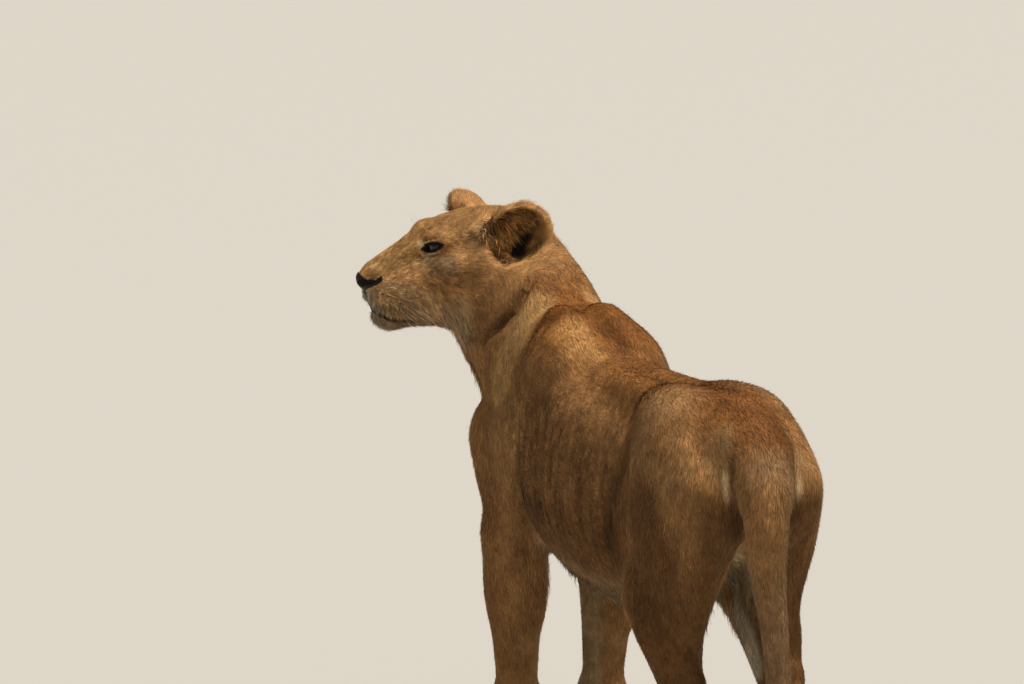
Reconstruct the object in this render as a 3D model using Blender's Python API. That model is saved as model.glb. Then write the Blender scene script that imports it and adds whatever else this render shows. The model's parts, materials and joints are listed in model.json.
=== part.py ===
"""Lioness, life size, standing square and looking out over her left shoulder.

A still museum model. Her body is one smooth skin, blended from named muscles, and parted with thin
cuts into the pieces a person would name. Metres, +Z up, nose end towards -Y, her left side at +X.
The origin is the middle of her bounding box, on the floor.
"""

from math import cos, radians, sin

import bmesh
import bpy
import numpy as np
from mathutils import Matrix, Vector

# Driving sizes
GRID = 0.0065  # spacing of the points that the skin is drawn through
SKIN_TRIANGLES = 6000
HEAD_DETAIL = 12000  # how many the skin would have if all of it were as fine as the head
HEAD_REACH = 0.245
GAP = 0.0004  # a thin cut between two pieces
CREASE = radians(25)  # faces meeting at more than this make an edge worth keeping
SHORTEST = 0.014  # edges under this are drawn to a point, where the shape allows
SOLES = 0.003  # height at which the soles are cut flat
FAR = 1.0


# ---------------------------------------------------------------- shapes and how they blend


def vec(*values):
    return np.array(values, float)


def unit(vector):
    return np.asarray(vector, float) / np.linalg.norm(vector)


class Frame:
    """A turned set of axes, such as the head's: x to its left, y backwards, z up."""

    def __init__(self, origin=(0, 0, 0), yaw=0.0, pitch=0.0, roll=0.0):
        turn = Matrix.Rotation(radians(yaw), 3, "Z")
        turn = turn @ Matrix.Rotation(radians(pitch), 3, "X")
        turn = turn @ Matrix.Rotation(radians(roll), 3, "Y")
        self.axes = np.array(turn)
        self.origin = vec(*origin)

    def place(self, point):
        return self.origin + self.axes @ np.asarray(point, float)

    def inner(self, origin, upwards, facing):
        """Axes inside these, z along upwards and -y along facing."""
        made = Frame(self.place(origin))
        z = self.axes @ unit(upwards)
        y = -(self.axes @ unit(facing))
        y = unit(y - z * (y @ z))
        made.axes = np.array((np.cross(y, z), y, z)).T
        return made


BODY = Frame()


class Ball:
    """An ellipsoid, with its own turn inside its frame."""

    def __init__(self, centre, radii, frame=BODY, turn=(0, 0, 0)):
        self.own = Frame((0, 0, 0), *turn)
        self.axes = frame.axes @ self.own.axes
        self.centre = frame.place(centre)
        self.radii = vec(*radii) if np.ndim(radii) else vec(radii, radii, radii)
        reach = np.sqrt(((self.axes * self.radii) ** 2).sum(1))
        self.low, self.high = self.centre - reach, self.centre + reach

    def distance(self, x, y, z):
        x, y, z = x - self.centre[0], y - self.centre[1], z - self.centre[2]
        a, r = self.axes, self.radii
        u = (x * a[0, 0] + y * a[1, 0] + z * a[2, 0]) / r[0]
        v = (x * a[0, 1] + y * a[1, 1] + z * a[2, 1]) / r[1]
        w = (x * a[0, 2] + y * a[1, 2] + z * a[2, 2]) / r[2]
        near = np.sqrt(u * u + v * v + w * w) + 1e-9
        slope = np.sqrt((u / r[0]) ** 2 + (v / r[1]) ** 2 + (w / r[2]) ** 2) + 1e-9
        return near * (near - 1) / slope


class Bar:
    """A rounded cone from a to b. flat under 1 thins it along side."""

    def __init__(self, a, b, radius_a, radius_b, flat=1.0, side=(1, 0, 0), frame=BODY):
        self.a, self.b = frame.place(a), frame.place(b)
        self.radii = radius_a, radius_b
        self.flat = flat
        self.side = frame.axes @ unit(side)
        reach = max(self.radii) * max(1.0, flat)
        self.low = np.minimum(self.a, self.b) - reach
        self.high = np.maximum(self.a, self.b) + reach

    def distance(self, x, y, z):
        px, py, pz = x - self.a[0], y - self.a[1], z - self.a[2]
        along = self.b - self.a
        aside = px * self.side[0] + py * self.side[1] + pz * self.side[2]
        if self.flat != 1.0:
            stretch = 1.0 / self.flat - 1.0
            px, py, pz = (p + aside * stretch * s for p, s in zip((px, py, pz), self.side))
            along = along + (along @ self.side) * stretch * self.side
        r1, r2 = self.radii
        length2 = along @ along
        step = r1 - r2
        lean2 = length2 - step * step
        t = px * along[0] + py * along[1] + pz * along[2]
        over = t - length2
        cx, cy, cz = (p * length2 - a * t for p, a in zip((px, py, pz), along))
        x2 = cx * cx + cy * cy + cz * cz
        y2, z2 = t * t * length2, over * over * length2
        limit = np.sign(step) * step * step * x2
        beside = (np.sqrt(x2 * lean2 / length2) + t * step) / length2 - r1
        past_b = np.sqrt(x2 + z2) / length2 - r2
        before_a = np.sqrt(x2 + y2) / length2 - r1
        found = np.where(np.sign(over) * lean2 * z2 > limit, past_b, beside)
        found = np.where(np.sign(t) * lean2 * y2 < limit, before_a, found)
        if self.flat != 1.0:
            radial2 = x2 / length2**2 + 1e-9
            share = np.minimum((aside / self.flat) ** 2 / radial2, 1.0)
            found = found / np.sqrt(1 + (1 / self.flat**2 - 1) * share)
        return found


class Loft:
    """The barrel of the trunk: rounded sections down a line of stations along y.

    Each station is (y, top, bottom, half width, height of the widest point, squareness).
    """

    def __init__(self, stations):
        table = np.array(stations, float)
        self.ys = table[:, 0]
        self.columns = [self.smooth_slopes(table[:, k]) for k in range(1, table.shape[1])]
        self.low = vec(-table[:, 3].max(), self.ys[0], table[:, 2].min())
        self.high = vec(table[:, 3].max(), self.ys[-1], table[:, 1].max())

    def smooth_slopes(self, values):
        slopes = np.gradient(values, self.ys)
        return values, slopes

    def read(self, column, y):
        """Cubic interpolation with the stations' own slopes."""
        values, slopes = self.columns[column]
        y = np.clip(y, self.ys[0], self.ys[-1])
        k = np.clip(np.searchsorted(self.ys, y) - 1, 0, len(self.ys) - 2)
        width = self.ys[k + 1] - self.ys[k]
        t = (y - self.ys[k]) / width
        return (
            values[k] * (1 + 2 * t) * (1 - t) ** 2
            + slopes[k] * width * t * (1 - t) ** 2
            + values[k + 1] * t * t * (3 - 2 * t)
            + slopes[k + 1] * width * t * t * (t - 1)
        )

    def distance(self, x, y, z):
        top, bottom, half, widest, square = (self.read(c, y) for c in range(5))
        dz = z - widest
        height = np.where(dz > 0, top - widest, widest - bottom)
        u, w = np.abs(x) / half + 1e-6, np.abs(dz) / height + 1e-6
        ring = (u**square + w**square) ** (1 / square)
        slope = ring ** (1 - square) * np.sqrt(
            (u ** (square - 1) / half) ** 2 + (w ** (square - 1) / height) ** 2
        )
        beyond = np.maximum(self.ys[0] - y, y - self.ys[-1])
        return np.maximum((ring - 1) / slope, beyond)


def smooth_least(a, b, blend):
    share = np.clip(0.5 + 0.5 * (b - a) / blend, 0, 1)
    return b + (a - b) * share - blend * share * (1 - share)


CORNERS = [(i, j, k) for i in (0, 1) for j in (0, 1) for k in (0, 1)]


def joined(members):
    """Whether a set of cube corners hangs together along the cube's edges."""
    reached, fresh = set(), set(list(members)[:1])
    while fresh:
        reached |= fresh
        fresh = {m for m in members if any(sum(map(abs, np.subtract(m, r))) == 1 for r in reached)} - reached
    return reached == set(members)


def two_sheets():
    """For each of the 256 patterns of a cell's corners: does more than one sheet of skin cross it?"""
    found = []
    for pattern in range(256):
        inside = {c for n, c in enumerate(CORNERS) if pattern >> n & 1}
        outside = set(CORNERS) - inside
        wrong = not (joined(inside) and joined(outside))
        for way in range(3):
            for level in (0, 1):
                face = [c for c in CORNERS if c[way] == level]
                wrong |= not (joined(inside & set(face)) and joined(outside & set(face)))
        found.append(wrong)
    return np.array(found)


class Flesh:
    """Signed distance to the skin on a grid of points. Negative is inside."""

    def __init__(self, low, high, step):
        self.step = step
        self.axes = [np.arange(a, b, step) for a, b in zip(low, high)]
        self.value = np.full([len(axis) for axis in self.axes], FAR, np.float32)

    def window(self, shape, margin):
        cuts = []
        for axis, a, b in zip(self.axes, shape.low - margin, shape.high + margin):
            cuts.append(slice(*np.searchsorted(axis, (a, b))))
        points = np.meshgrid(*(axis[c] for axis, c in zip(self.axes, cuts)), indexing="ij", sparse=True)
        return tuple(cuts), points

    def add(self, shape, blend=0.02):
        cuts, points = self.window(shape, blend + 3 * self.step)
        self.value[cuts] = smooth_least(self.value[cuts], shape.distance(*points), blend)

    def carve(self, shape, blend=0.01):
        cuts, points = self.window(shape, blend + 3 * self.step)
        self.value[cuts] = -smooth_least(-self.value[cuts], shape.distance(*points), blend)

    def corner(self, array, offset):
        return array[tuple(slice(o, o + n - 1) for o, n in zip(offset, array.shape))]

    def fill_doubtful(self):
        """Fills every cell that two sheets of skin would cross, so that the surface is one clean sheet."""
        table = two_sheets()
        for _ in range(20):
            inside = self.value < 0
            pattern = sum(self.corner(inside, c).astype(np.int16) << n for n, c in enumerate(CORNERS))
            cells = np.argwhere(table[pattern])
            for c in CORNERS:
                place = tuple((cells + c).T)
                self.value[place] = np.minimum(self.value[place], -0.02 * self.step)
            if not len(cells):
                return

    def skin(self):
        """Points and four-sided faces of the surface, by surface nets."""
        self.fill_doubtful()
        inside = self.value < 0
        size = [n - 1 for n in inside.shape]
        count = sum(self.corner(inside, c).astype(np.int8) for c in CORNERS)
        cells = np.argwhere((count > 0) & (count < 8))
        number = np.full(size, -1, np.int64)
        number[tuple(cells.T)] = np.arange(len(cells))
        total, hits = np.zeros((len(cells), 3)), np.zeros(len(cells))
        for c in CORNERS:
            for way in range(3):
                if c[way]:
                    continue
                other = tuple(o + (way == n) for n, o in enumerate(c))
                one = self.value[tuple((cells + c).T)]
                two = self.value[tuple((cells + other).T)]
                crossed = (one < 0) != (two < 0)
                share = np.where(crossed, one / np.where(crossed, one - two, 1), 0)
                place = cells + np.array(c, float)
                place[:, way] += share
                total += place * crossed[:, None]
                hits += crossed
        low = vec(*(axis[0] for axis in self.axes))
        points = low + total / hits[:, None] * self.step
        faces = []
        for way in range(3):
            ahead = tuple(slice(0, -1) if n == way else slice(1, -1) for n in range(3))
            past = tuple(slice(1, None) if n == way else slice(1, -1) for n in range(3))
            for enter in (True, False):
                start = inside[ahead] & ~inside[past] if enter else ~inside[ahead] & inside[past]
                edges = np.argwhere(start) + [int(n != way) for n in range(3)]
                second, third = [n for n in range(3) if n != way]
                ring = []
                for shift in ((0, 0), (1, 0), (1, 1), (0, 1)):
                    cell = edges.copy()
                    cell[:, second] -= shift[0]
                    cell[:, third] -= shift[1]
                    ring.append(number[tuple(cell.T)])
                quads = np.stack(ring, 1)
                faces.append(quads[:, ::-1] if enter == (way == 1) else quads)
        return points, np.concatenate(faces)


# ---------------------------------------------------------------- the animal

# Where things are on her left side, standing. x is to her left, y to her tail.
TRUNK_STATIONS = (
    # y, top, bottom, half width, widest at, squareness
    (-0.53, 0.860, 0.630, 0.065, 0.74, 2.0),
    (-0.46, 0.930, 0.555, 0.100, 0.71, 2.1),
    (-0.36, 0.965, 0.515, 0.122, 0.70, 2.2),
    (-0.26, 0.972, 0.490, 0.142, 0.70, 2.2),
    (-0.12, 0.942, 0.450, 0.158, 0.68, 2.15),
    (0.00, 0.912, 0.437, 0.165, 0.65, 2.1),
    (0.12, 0.898, 0.437, 0.162, 0.64, 2.1),
    (0.24, 0.902, 0.462, 0.148, 0.66, 2.1),
    (0.36, 0.915, 0.520, 0.132, 0.72, 2.2),
    (0.48, 0.915, 0.590, 0.115, 0.75, 2.1),
    (0.57, 0.860, 0.650, 0.075, 0.76, 2.0),
)
HEAD_PLACE = (0.0873, -0.620, 1.090)
HEAD_TURN = 83.0  # degrees to her left
HEAD_TILT = 9.0  # her left ear lower than her right
SIDES = (1, -1)
# Each ear in the head's axes: root, way it stands, way it opens, length
EARS = (
    ((0.086, 0.001, -0.004), (0.20, 0.65, 0.73), (0.88, -0.44, 0.02), 0.165),
    ((-0.064, 0.008, 0.006), (-0.84, 0.04, 0.52), (-0.42, -0.55, -0.70), 0.134),
)
EYE_CENTRE, EYE_RADIUS = (0.048, -0.101, 0.029), 0.0185
EYE_GAZE = (0.62, -0.77, 0.12)


def build_trunk(flesh):
    flesh.add(Loft(TRUNK_STATIONS), 0.03)
    # breast between the shoulders, and the keel
    flesh.add(Ball((0, -0.47, 0.700), (0.110, 0.105, 0.165)), 0.06)
    flesh.add(Bar((0, -0.52, 0.64), (0, -0.30, 0.535), 0.050, 0.045), 0.06)
    for s in SIDES:
        # long muscle beside the spine
        flesh.add(Bar((s * 0.040, -0.20, 0.880), (s * 0.045, 0.34, 0.872), 0.038, 0.042, 0.9), 0.04)
        # croup and hip point
        flesh.add(Ball((s * 0.062, 0.405, 0.830), (0.076, 0.132, 0.095)), 0.05)
        flesh.add(Ball((s * 0.072, 0.310, 0.860), (0.042, 0.070, 0.042)), 0.05)
        # seat bone
        flesh.add(Ball((s * 0.060, 0.562, 0.750), (0.055, 0.050, 0.075)), 0.05)
        # ribs behind the shoulder
        flesh.add(Ball((s * 0.078, -0.08, 0.70), (0.088, 0.200, 0.160)), 0.06)


def build_shoulder(flesh, s):
    top, point = vec(s * 0.047, -0.245, 0.943), vec(s * 0.098, -0.474, 0.715)
    elbow = vec(s * 0.112, -0.325, 0.535)
    # shoulder blade, standing above the spine at its rear corner
    flesh.add(Bar(top, point, 0.070, 0.060, 0.55), 0.05)
    flesh.add(Bar((s * 0.037, -0.310, 0.968), (s * 0.060, -0.140, 0.920), 0.034, 0.042, 0.85), 0.055)
    flesh.add(Bar((s * 0.048, -0.350, 0.930), point, 0.040, 0.050, 0.7), 0.05)
    # muscle over the blade's rear edge
    flesh.add(Ball((s * 0.090, -0.205, 0.868), (0.050, 0.105, 0.085)), 0.06)
    # long and side heads of the triceps
    flesh.add(Bar((s * 0.098, -0.235, 0.820), elbow, 0.062, 0.042, 0.6), 0.05)
    flesh.add(Bar((s * 0.112, -0.345, 0.740), elbow, 0.080, 0.052, 0.62), 0.04)
    # deltoid over the shoulder point, biceps in front of the arm
    flesh.add(Ball((s * 0.096, -0.455, 0.715), (0.042, 0.058, 0.090)), 0.04)
    flesh.add(Bar(point, elbow + vec(0, -0.045, 0), 0.056, 0.064, 0.85), 0.04)
    # breast muscle from the keel to the arm
    flesh.add(Ball((s * 0.060, -0.46, 0.61), (0.062, 0.080, 0.090)), 0.05)


def build_foreleg(flesh, s, stance):
    shift = vec(*stance)
    elbow = vec(s * 0.110, -0.330, 0.530)
    knee = vec(s * 0.097, -0.380, 0.170) + shift
    foot = vec(s * 0.098, -0.425, 0.055) + shift
    out = vec(s, 0, 0)
    # forearm: stretching muscles in front and outside, bending muscles behind
    flesh.add(Bar(elbow + (0, -0.035, -0.01), knee, 0.074, 0.043, 0.88), 0.03)
    middle = elbow * 0.72 + knee * 0.28
    flesh.add(Ball(middle + out * 0.006 + (0, -0.022, -0.005), (0.056, 0.052, 0.115)), 0.03)
    flesh.add(Ball(middle + (0, 0.024, -0.010), (0.046, 0.044, 0.120)), 0.03)
    flesh.add(Ball(elbow + (0, 0.030, 0.012), (0.024, 0.026, 0.034)), 0.03)
    # wrist, its pad behind, and the dew claw inside
    flesh.add(Ball(knee + (0, -0.004, 0), (0.045, 0.044, 0.050)), 0.03)
    flesh.add(Ball(knee + (s * 0.006, 0.036, 0.000), (0.016, 0.017, 0.020)), 0.014)
    flesh.add(Bar(knee + (-s * 0.034, 0.0, -0.040), knee + (-s * 0.040, -0.014, -0.068), 0.012, 0.010), 0.012)
    flesh.add(Bar(knee, foot, 0.041, 0.044, 1.05), 0.03)
    build_paw(flesh, foot, 1.05)


def build_paw(flesh, foot, size):
    """Four toes over a three-lobed pad; foot is the middle of the knuckles, toes point to -Y."""
    heel = vec(foot[0], foot[1], 0)
    flesh.add(Ball(heel + vec(0, -0.012, 0.030) * size, vec(0.050, 0.048, 0.034) * size), 0.025)
    for place, reach in ((-1.5, 0.060), (-0.5, 0.078), (0.5, 0.080), (1.5, 0.062)):
        aside = place * 0.0235
        root = heel + vec(aside * 0.8, -0.018, 0.048) * size
        knuckle = heel + vec(aside, -reach * 0.78, 0.046) * size
        tip = heel + vec(aside * 1.04, -reach - 0.012, 0.024) * size
        flesh.add(Bar(root, knuckle, 0.019 * size, 0.0185 * size), 0.012)
        flesh.add(Bar(knuckle, tip, 0.0185 * size, 0.0175 * size), 0.010)
        flesh.add(Ball(tip + vec(0, 0.004, -0.008) * size, vec(0.015, 0.020, 0.014) * size), 0.008)
    for place in (-1, 0, 1):
        lobe = heel + vec(place * 0.021, 0.012 - 0.006 * abs(place), 0.014) * size
        flesh.add(Ball(lobe, vec(0.020, 0.022, 0.014) * size), 0.010)


def build_thigh(flesh, s):
    hip = vec(s * 0.094, 0.415, 0.750)
    knee = vec(s * 0.106, 0.322, 0.510)
    # quadriceps in front
    flesh.add(Bar(hip + (0, -0.032, 0), knee, 0.082, 0.053, 0.68), 0.05)
    # biceps femoris: the big side muscle, from the seat bone to the knee and shin
    flesh.add(Bar((s * 0.112, 0.510, 0.735), (s * 0.114, 0.400, 0.520), 0.086, 0.067, 0.62), 0.05)
    flesh.add(Ball((s * 0.114, 0.458, 0.685), (0.055, 0.106, 0.140)), 0.05)
    # semitendinosus and semimembranosus: the back edge of the thigh
    flesh.add(Bar((s * 0.078, 0.566, 0.735), (s * 0.106, 0.480, 0.440), 0.055, 0.040, 0.9), 0.045)
    flesh.add(Bar((s * 0.060, 0.555, 0.700), (s * 0.080, 0.440, 0.500), 0.060, 0.050, 0.8), 0.04)
    # gluteals over the hip
    flesh.add(Ball((s * 0.088, 0.418, 0.800), (0.064, 0.108, 0.095)), 0.05)
    # kneecap
    flesh.add(Ball((s * 0.110, 0.314, 0.508), (0.037, 0.041, 0.057)), 0.035)
    # fold of skin from knee to flank
    flesh.add(Bar((s * 0.092, 0.240, 0.565), (s * 0.104, 0.315, 0.520), 0.036, 0.036, 0.6), 0.05)


def build_hindleg(flesh, s, stance):
    shift = vec(*stance)
    knee = vec(s * 0.106, 0.324, 0.505)
    ankle = vec(s * 0.110, 0.548, 0.262) + shift
    heel = vec(s * 0.108, 0.594, 0.292) + shift
    foot = vec(s * 0.108, 0.500, 0.050) + shift
    # shin, calf and the tendon to the heel
    flesh.add(Bar(knee + (0, 0.02, -0.01), ankle, 0.060, 0.038, 0.88), 0.035)
    calf = vec(s * 0.116, 0.415, 0.460)
    flesh.add(Bar(calf, calf * 0.4 + heel * 0.6, 0.062, 0.032, 0.78), 0.04)
    flesh.add(Bar(calf * 0.35 + heel * 0.65, heel, 0.029, 0.022, 0.85), 0.02)
    flesh.add(Ball(heel, (0.025, 0.025, 0.029)), 0.02)
    flesh.add(Ball(ankle + (0, 0.004, -0.004), (0.038, 0.041, 0.046)), 0.025)
    flesh.add(Bar(heel + (0, -0.01, -0.01), (ankle + foot) / 2 + (0, 0.02, 0), 0.020, 0.024), 0.02)
    flesh.add(Bar(ankle, foot, 0.035, 0.039, 0.95), 0.025)
    build_paw(flesh, foot, 0.98)


def smooth_path(points, count):
    """Points and radii along a Catmull-Rom curve through rows of (x, y, z, radius)."""
    rows = np.array(points, float)
    rows = np.vstack([2 * rows[0] - rows[1], rows, 2 * rows[-1] - rows[-2]])
    found = []
    for t in np.linspace(0, len(points) - 1, count):
        k = min(int(t), len(points) - 2)
        u = t - k
        a, b, c, d = rows[k : k + 4]
        found.append(
            0.5 * (2 * b + (c - a) * u + (2 * a - 5 * b + 4 * c - d) * u**2 + (3 * b - a - 3 * c + d) * u**3)
        )
    return np.array(found)


def build_tail(flesh):
    rows = smooth_path(
        (
            (0.002, 0.500, 0.855, 0.060),
            (0.007, 0.605, 0.815, 0.056),
            (0.019, 0.676, 0.755, 0.050),
            (0.027, 0.703, 0.690, 0.044),
            (0.026, 0.712, 0.586, 0.034),
            (0.016, 0.719, 0.478, 0.027),
            (0.008, 0.726, 0.350, 0.025),
            (0.004, 0.736, 0.250, 0.023),
            (0.001, 0.760, 0.150, 0.021),
            (0.002, 0.800, 0.085, 0.018),
        ),
        26,
    )
    for one, two in zip(rows[:-1], rows[1:]):
        blend = 0.05 if one[2] > 0.80 else 0.02 if one[2] > 0.74 else 0.002
        flesh.add(Bar(one[:3], two[:3], one[3], two[3]), blend)
    # dark tuft on the end
    flesh.add(Ball((0.002, 0.790, 0.096), (0.029, 0.052, 0.031), turn=(0, -45, 0)), 0.02)


def build_neck(flesh):
    rows = smooth_path(
        (
            (0.000, -0.330, 0.830, 0.140, 0),
            (0.000, -0.420, 0.875, 0.150, 5),
            (0.008, -0.500, 0.950, 0.142, 20),
            (0.026, -0.555, 1.000, 0.126, 40),
            (0.036, -0.595, 1.040, 0.104, 60),
        ),
        9,
    )
    for one, two in zip(rows[:-1], rows[1:]):
        side = (cos(radians(one[4])), sin(radians(one[4])), 0)
        flesh.add(Bar(one[:3], two[:3], one[3], two[3], 0.80, side), 0.04)
    # crest of the neck, and the throat
    flesh.add(Bar((0.0, -0.380, 0.975), (0.006, -0.565, 1.118), 0.050, 0.052), 0.05)
    flesh.add(Bar((0.0, -0.520, 0.780), (0.060, -0.620, 0.960), 0.075, 0.070), 0.06)


def head_frame():
    return Frame(HEAD_PLACE, HEAD_TURN, 0, HEAD_TILT)


def build_head(flesh):
    """In the head's own frame: x to her left, -y towards the nose, z up. Origin in the brain case."""
    h = head_frame()

    def ball(centre, radii, blend, turn=(0, 0, 0)):
        flesh.add(Ball(centre, radii, h, turn), blend)

    def bar(a, b, ra, rb, blend, flat=1.0, side=(1, 0, 0)):
        flesh.add(Bar(a, b, ra, rb, flat, side, h), blend)

    # brain case, forehead and the back of the skull
    ball((0, 0.020, 0.015), (0.080, 0.095, 0.082), 0.05)
    ball((0, -0.050, 0.015), (0.070, 0.095, 0.070), 0.04)
    ball((0, 0.020, -0.045), (0.088, 0.085, 0.090), 0.05)
    # upper and lower jaw
    ball((0, -0.178, -0.071), (0.046, 0.066, 0.049), 0.03)
    ball((0, -0.120, -0.060), (0.058, 0.075, 0.060), 0.04)
    ball((0, -0.190, -0.132), (0.035, 0.036, 0.028), 0.02)
    for s in SIDES:
        # side of the upper jaw, below the eye
        bar((s * 0.050, -0.075, -0.020), (s * 0.034, -0.192, -0.054), 0.034, 0.030, 0.03)
        # long flat nose
        bar((s * 0.014, -0.110, 0.032), (s * 0.012, -0.220, -0.043), 0.028, 0.026, 0.02)
        # cheek bone from the ear, round below the eye
        bar((s * 0.080, 0.025, -0.020), (s * 0.064, -0.090, -0.012), 0.036, 0.026, 0.035)
        # jaw muscle and cheek
        ball((s * 0.062, 0.000, -0.080), (0.046, 0.066, 0.070), 0.04)
        bar((s * 0.056, -0.07, -0.065), (s * 0.040, -0.15, -0.070), 0.040, 0.034, 0.03)
        # side of the lower jaw
        bar((s * 0.020, -0.185, -0.128), (s * 0.048, -0.040, -0.110), 0.022, 0.036, 0.03)
        # brow
        bar((s * 0.028, -0.114, 0.044), (s * 0.060, -0.092, 0.042), 0.015, 0.018, 0.022)
        # whisker pad
        ball((s * 0.030, -0.203, -0.088), (0.033, 0.036, 0.034), 0.012)
        ball((s * 0.040, -0.170, -0.095), (0.027, 0.044, 0.029), 0.020)
        # eye socket
        flat = vec(s, 1, 1)
        outward = vec(*EYE_CENTRE) + unit(EYE_GAZE) * 0.036
        flesh.carve(Ball(flat * outward, (0.026, 0.022, 0.019), h, (s * -38, 0, 0)), 0.012)
    # nose pad
    ball((0, -0.242, -0.051), (0.027, 0.019, 0.019), 0.010, (0, -25, 0))
    for root, upwards, facing, length in EARS:
        build_ear(flesh, h, root, upwards, facing, length)


def build_ear(flesh, h, root, upwards, facing, length):
    """A round cupped shell on a short trunk, from its root towards its tip."""
    ear = h.inner(root, upwards, facing)
    middle = length * 0.50
    flesh.add(Bar((0, 0.006, 0.0), (0, 0.010, middle * 0.8), 0.040, 0.032, 1.1, (1, 0, 0), ear), 0.026)
    flesh.add(Ball((0, 0.006, middle), (length * 0.42, 0.038, length * 0.50), ear), 0.014)
    flesh.carve(Ball((0, -0.026, middle + 0.006), (length * 0.33, 0.042, length * 0.40), ear), 0.016)


LOW_CORNER, HIGH_CORNER = (-0.30, -0.90, -0.02), (0.45, 0.90, 1.32)


def build_flesh(step):
    flesh = Flesh(LOW_CORNER, HIGH_CORNER, step)
    build_trunk(flesh)
    for s in SIDES:
        build_shoulder(flesh, s)
        build_foreleg(flesh, s, (0, 0, 0))
        build_thigh(flesh, s)
        build_hindleg(flesh, s, (0, 0, 0) if s > 0 else (-0.010, -0.045, 0))
    build_neck(flesh)
    build_head(flesh)
    build_tail(flesh)
    return flesh


# ---------------------------------------------------------------- solids, and the cuts between them


def mesh_from(points, faces, name="made"):
    mesh = bpy.data.meshes.new(name)
    mesh.from_pydata([tuple(map(float, p)) for p in points], [], [tuple(map(int, f)) for f in faces])
    return mesh


def tidied(mesh):
    """All faces triangles, facing out."""
    work = bmesh.new()
    work.from_mesh(mesh)
    bmesh.ops.triangulate(work, faces=work.faces)
    bmesh.ops.recalc_face_normals(work, faces=work.faces)
    work.to_mesh(mesh)
    work.free()
    return mesh


def creases(point):
    return sum(1 for edge in point.link_edges if edge.calc_face_angle(0) > CREASE)


def simplified(mesh, shortest):
    """Edges under a length drawn to one point, where that neither bends a cut face nor folds the skin."""
    work = bmesh.new()
    work.from_mesh(mesh)
    for limit in (shortest * 0.1, shortest * 0.4, shortest * 0.7, shortest):
        for edge in [e for e in work.edges if e.calc_length() < limit]:
            if not edge.is_valid or edge.calc_length() >= limit:
                continue
            one, two = edge.verts
            near = {e.other_vert(one) for e in one.link_edges} & {e.other_vert(two) for e in two.link_edges}
            if len(near) != 2:
                continue
            ranks = creases(one), creases(two)
            sharp = edge.calc_face_angle(0) > CREASE
            if min(ranks) > 0 and not (sharp and min(ranks) == 2):
                continue
            if ranks[0] == ranks[1]:
                place = (one.co + two.co) / 2
            else:
                place = (one if ranks[0] > ranks[1] else two).co.copy()
            touched = [f for f in {*one.link_faces, *two.link_faces} if not (one in f.verts and two in f.verts)]
            if all(stays_facing(f, one, two, place) for f in touched):
                bmesh.ops.pointmerge(work, verts=[one, two], merge_co=place)
    bmesh.ops.recalc_face_normals(work, faces=work.faces)
    work.to_mesh(mesh)
    work.free()
    return mesh


def stays_facing(face, one, two, place):
    a, b, c = (place if v in (one, two) else v.co for v in face.verts)
    new = (b - a).cross(c - a)
    return new.length > 2e-7 and face.normal.dot(new.normalized()) > 0.7


def evaluated(mesh, kind, group=(), **settings):
    """The mesh after one modifier. group: the points in its vertex group."""
    body = bpy.data.objects.new("body", mesh)
    bpy.context.scene.collection.objects.link(body)
    if len(group):
        body.vertex_groups.new(name="group").add([int(n) for n in group], 1.0, "REPLACE")
        settings["vertex_group"] = "group"
    modifier = body.modifiers.new("work", kind)
    for key, value in settings.items():
        setattr(modifier, key, value)
    bpy.context.view_layer.update()
    seen = body.evaluated_get(bpy.context.evaluated_depsgraph_get())
    result = bpy.data.meshes.new_from_object(seen)
    bpy.data.objects.remove(body)
    return result


def combined(mesh, other, operation):
    tool = bpy.data.objects.new("tool", other)
    bpy.context.scene.collection.objects.link(tool)
    result = evaluated(mesh, "BOOLEAN", object=tool, operation=operation, solver="EXACT")
    bpy.data.objects.remove(tool)
    return tidied(result)


def grown(outline, gap):
    """A polygon with every edge moved outwards."""
    corners = np.array(outline, float)
    after = np.roll(corners, -1, 0)
    if (corners[:, 0] * after[:, 1] - after[:, 0] * corners[:, 1]).sum() < 0:
        corners = corners[::-1]
        after = np.roll(corners, -1, 0)
    along = after - corners
    along /= np.linalg.norm(along, axis=1)[:, None]
    out = np.stack((along[:, 1], -along[:, 0]), 1)
    before = np.roll(out, 1, 0)
    return corners + gap * (before + out) / (1 + (before * out).sum(1))[:, None]


class Prism:
    """A polygon in two axes of a frame, drawn out along the third."""

    def __init__(self, outline, across, reach, frame=BODY):
        self.outline, self.across, self.reach, self.frame = outline, across, reach, frame

    def solid(self, gap=0.0):
        flat = grown(self.outline, gap)
        count = len(flat)
        points = []
        for level in (self.reach[0] - gap, self.reach[1] + gap):
            for corner in flat:
                place = list(corner)
                place.insert("xyz".index(self.across), level)
                points.append(self.frame.place(place))
        faces = [tuple(range(count)), tuple(range(2 * count - 1, count - 1, -1))]
        for n in range(count):
            m = (n + 1) % count
            faces.append((n, m, m + count, n + count))
        return tidied(mesh_from(points, faces))


class Both:
    """What two prisms share."""

    def __init__(self, one, two):
        self.one, self.two = one, two

    def solid(self, gap=0.0):
        return combined(self.one.solid(gap), self.two.solid(gap), "INTERSECT")


def box(x, y, z, frame=BODY):
    return Prism(((x[0], y[0]), (x[1], y[0]), (x[1], y[1]), (x[0], y[1])), "z", z, frame)


def parted(mesh, region):
    """The piece of a mesh inside a region, and the rest of it, a thin cut away."""
    return combined(mesh, region.solid(), "INTERSECT"), combined(mesh, region.solid(GAP), "DIFFERENCE")


def flipped(outline, s):
    return [(s * a, b) for a, b in outline]


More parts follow.
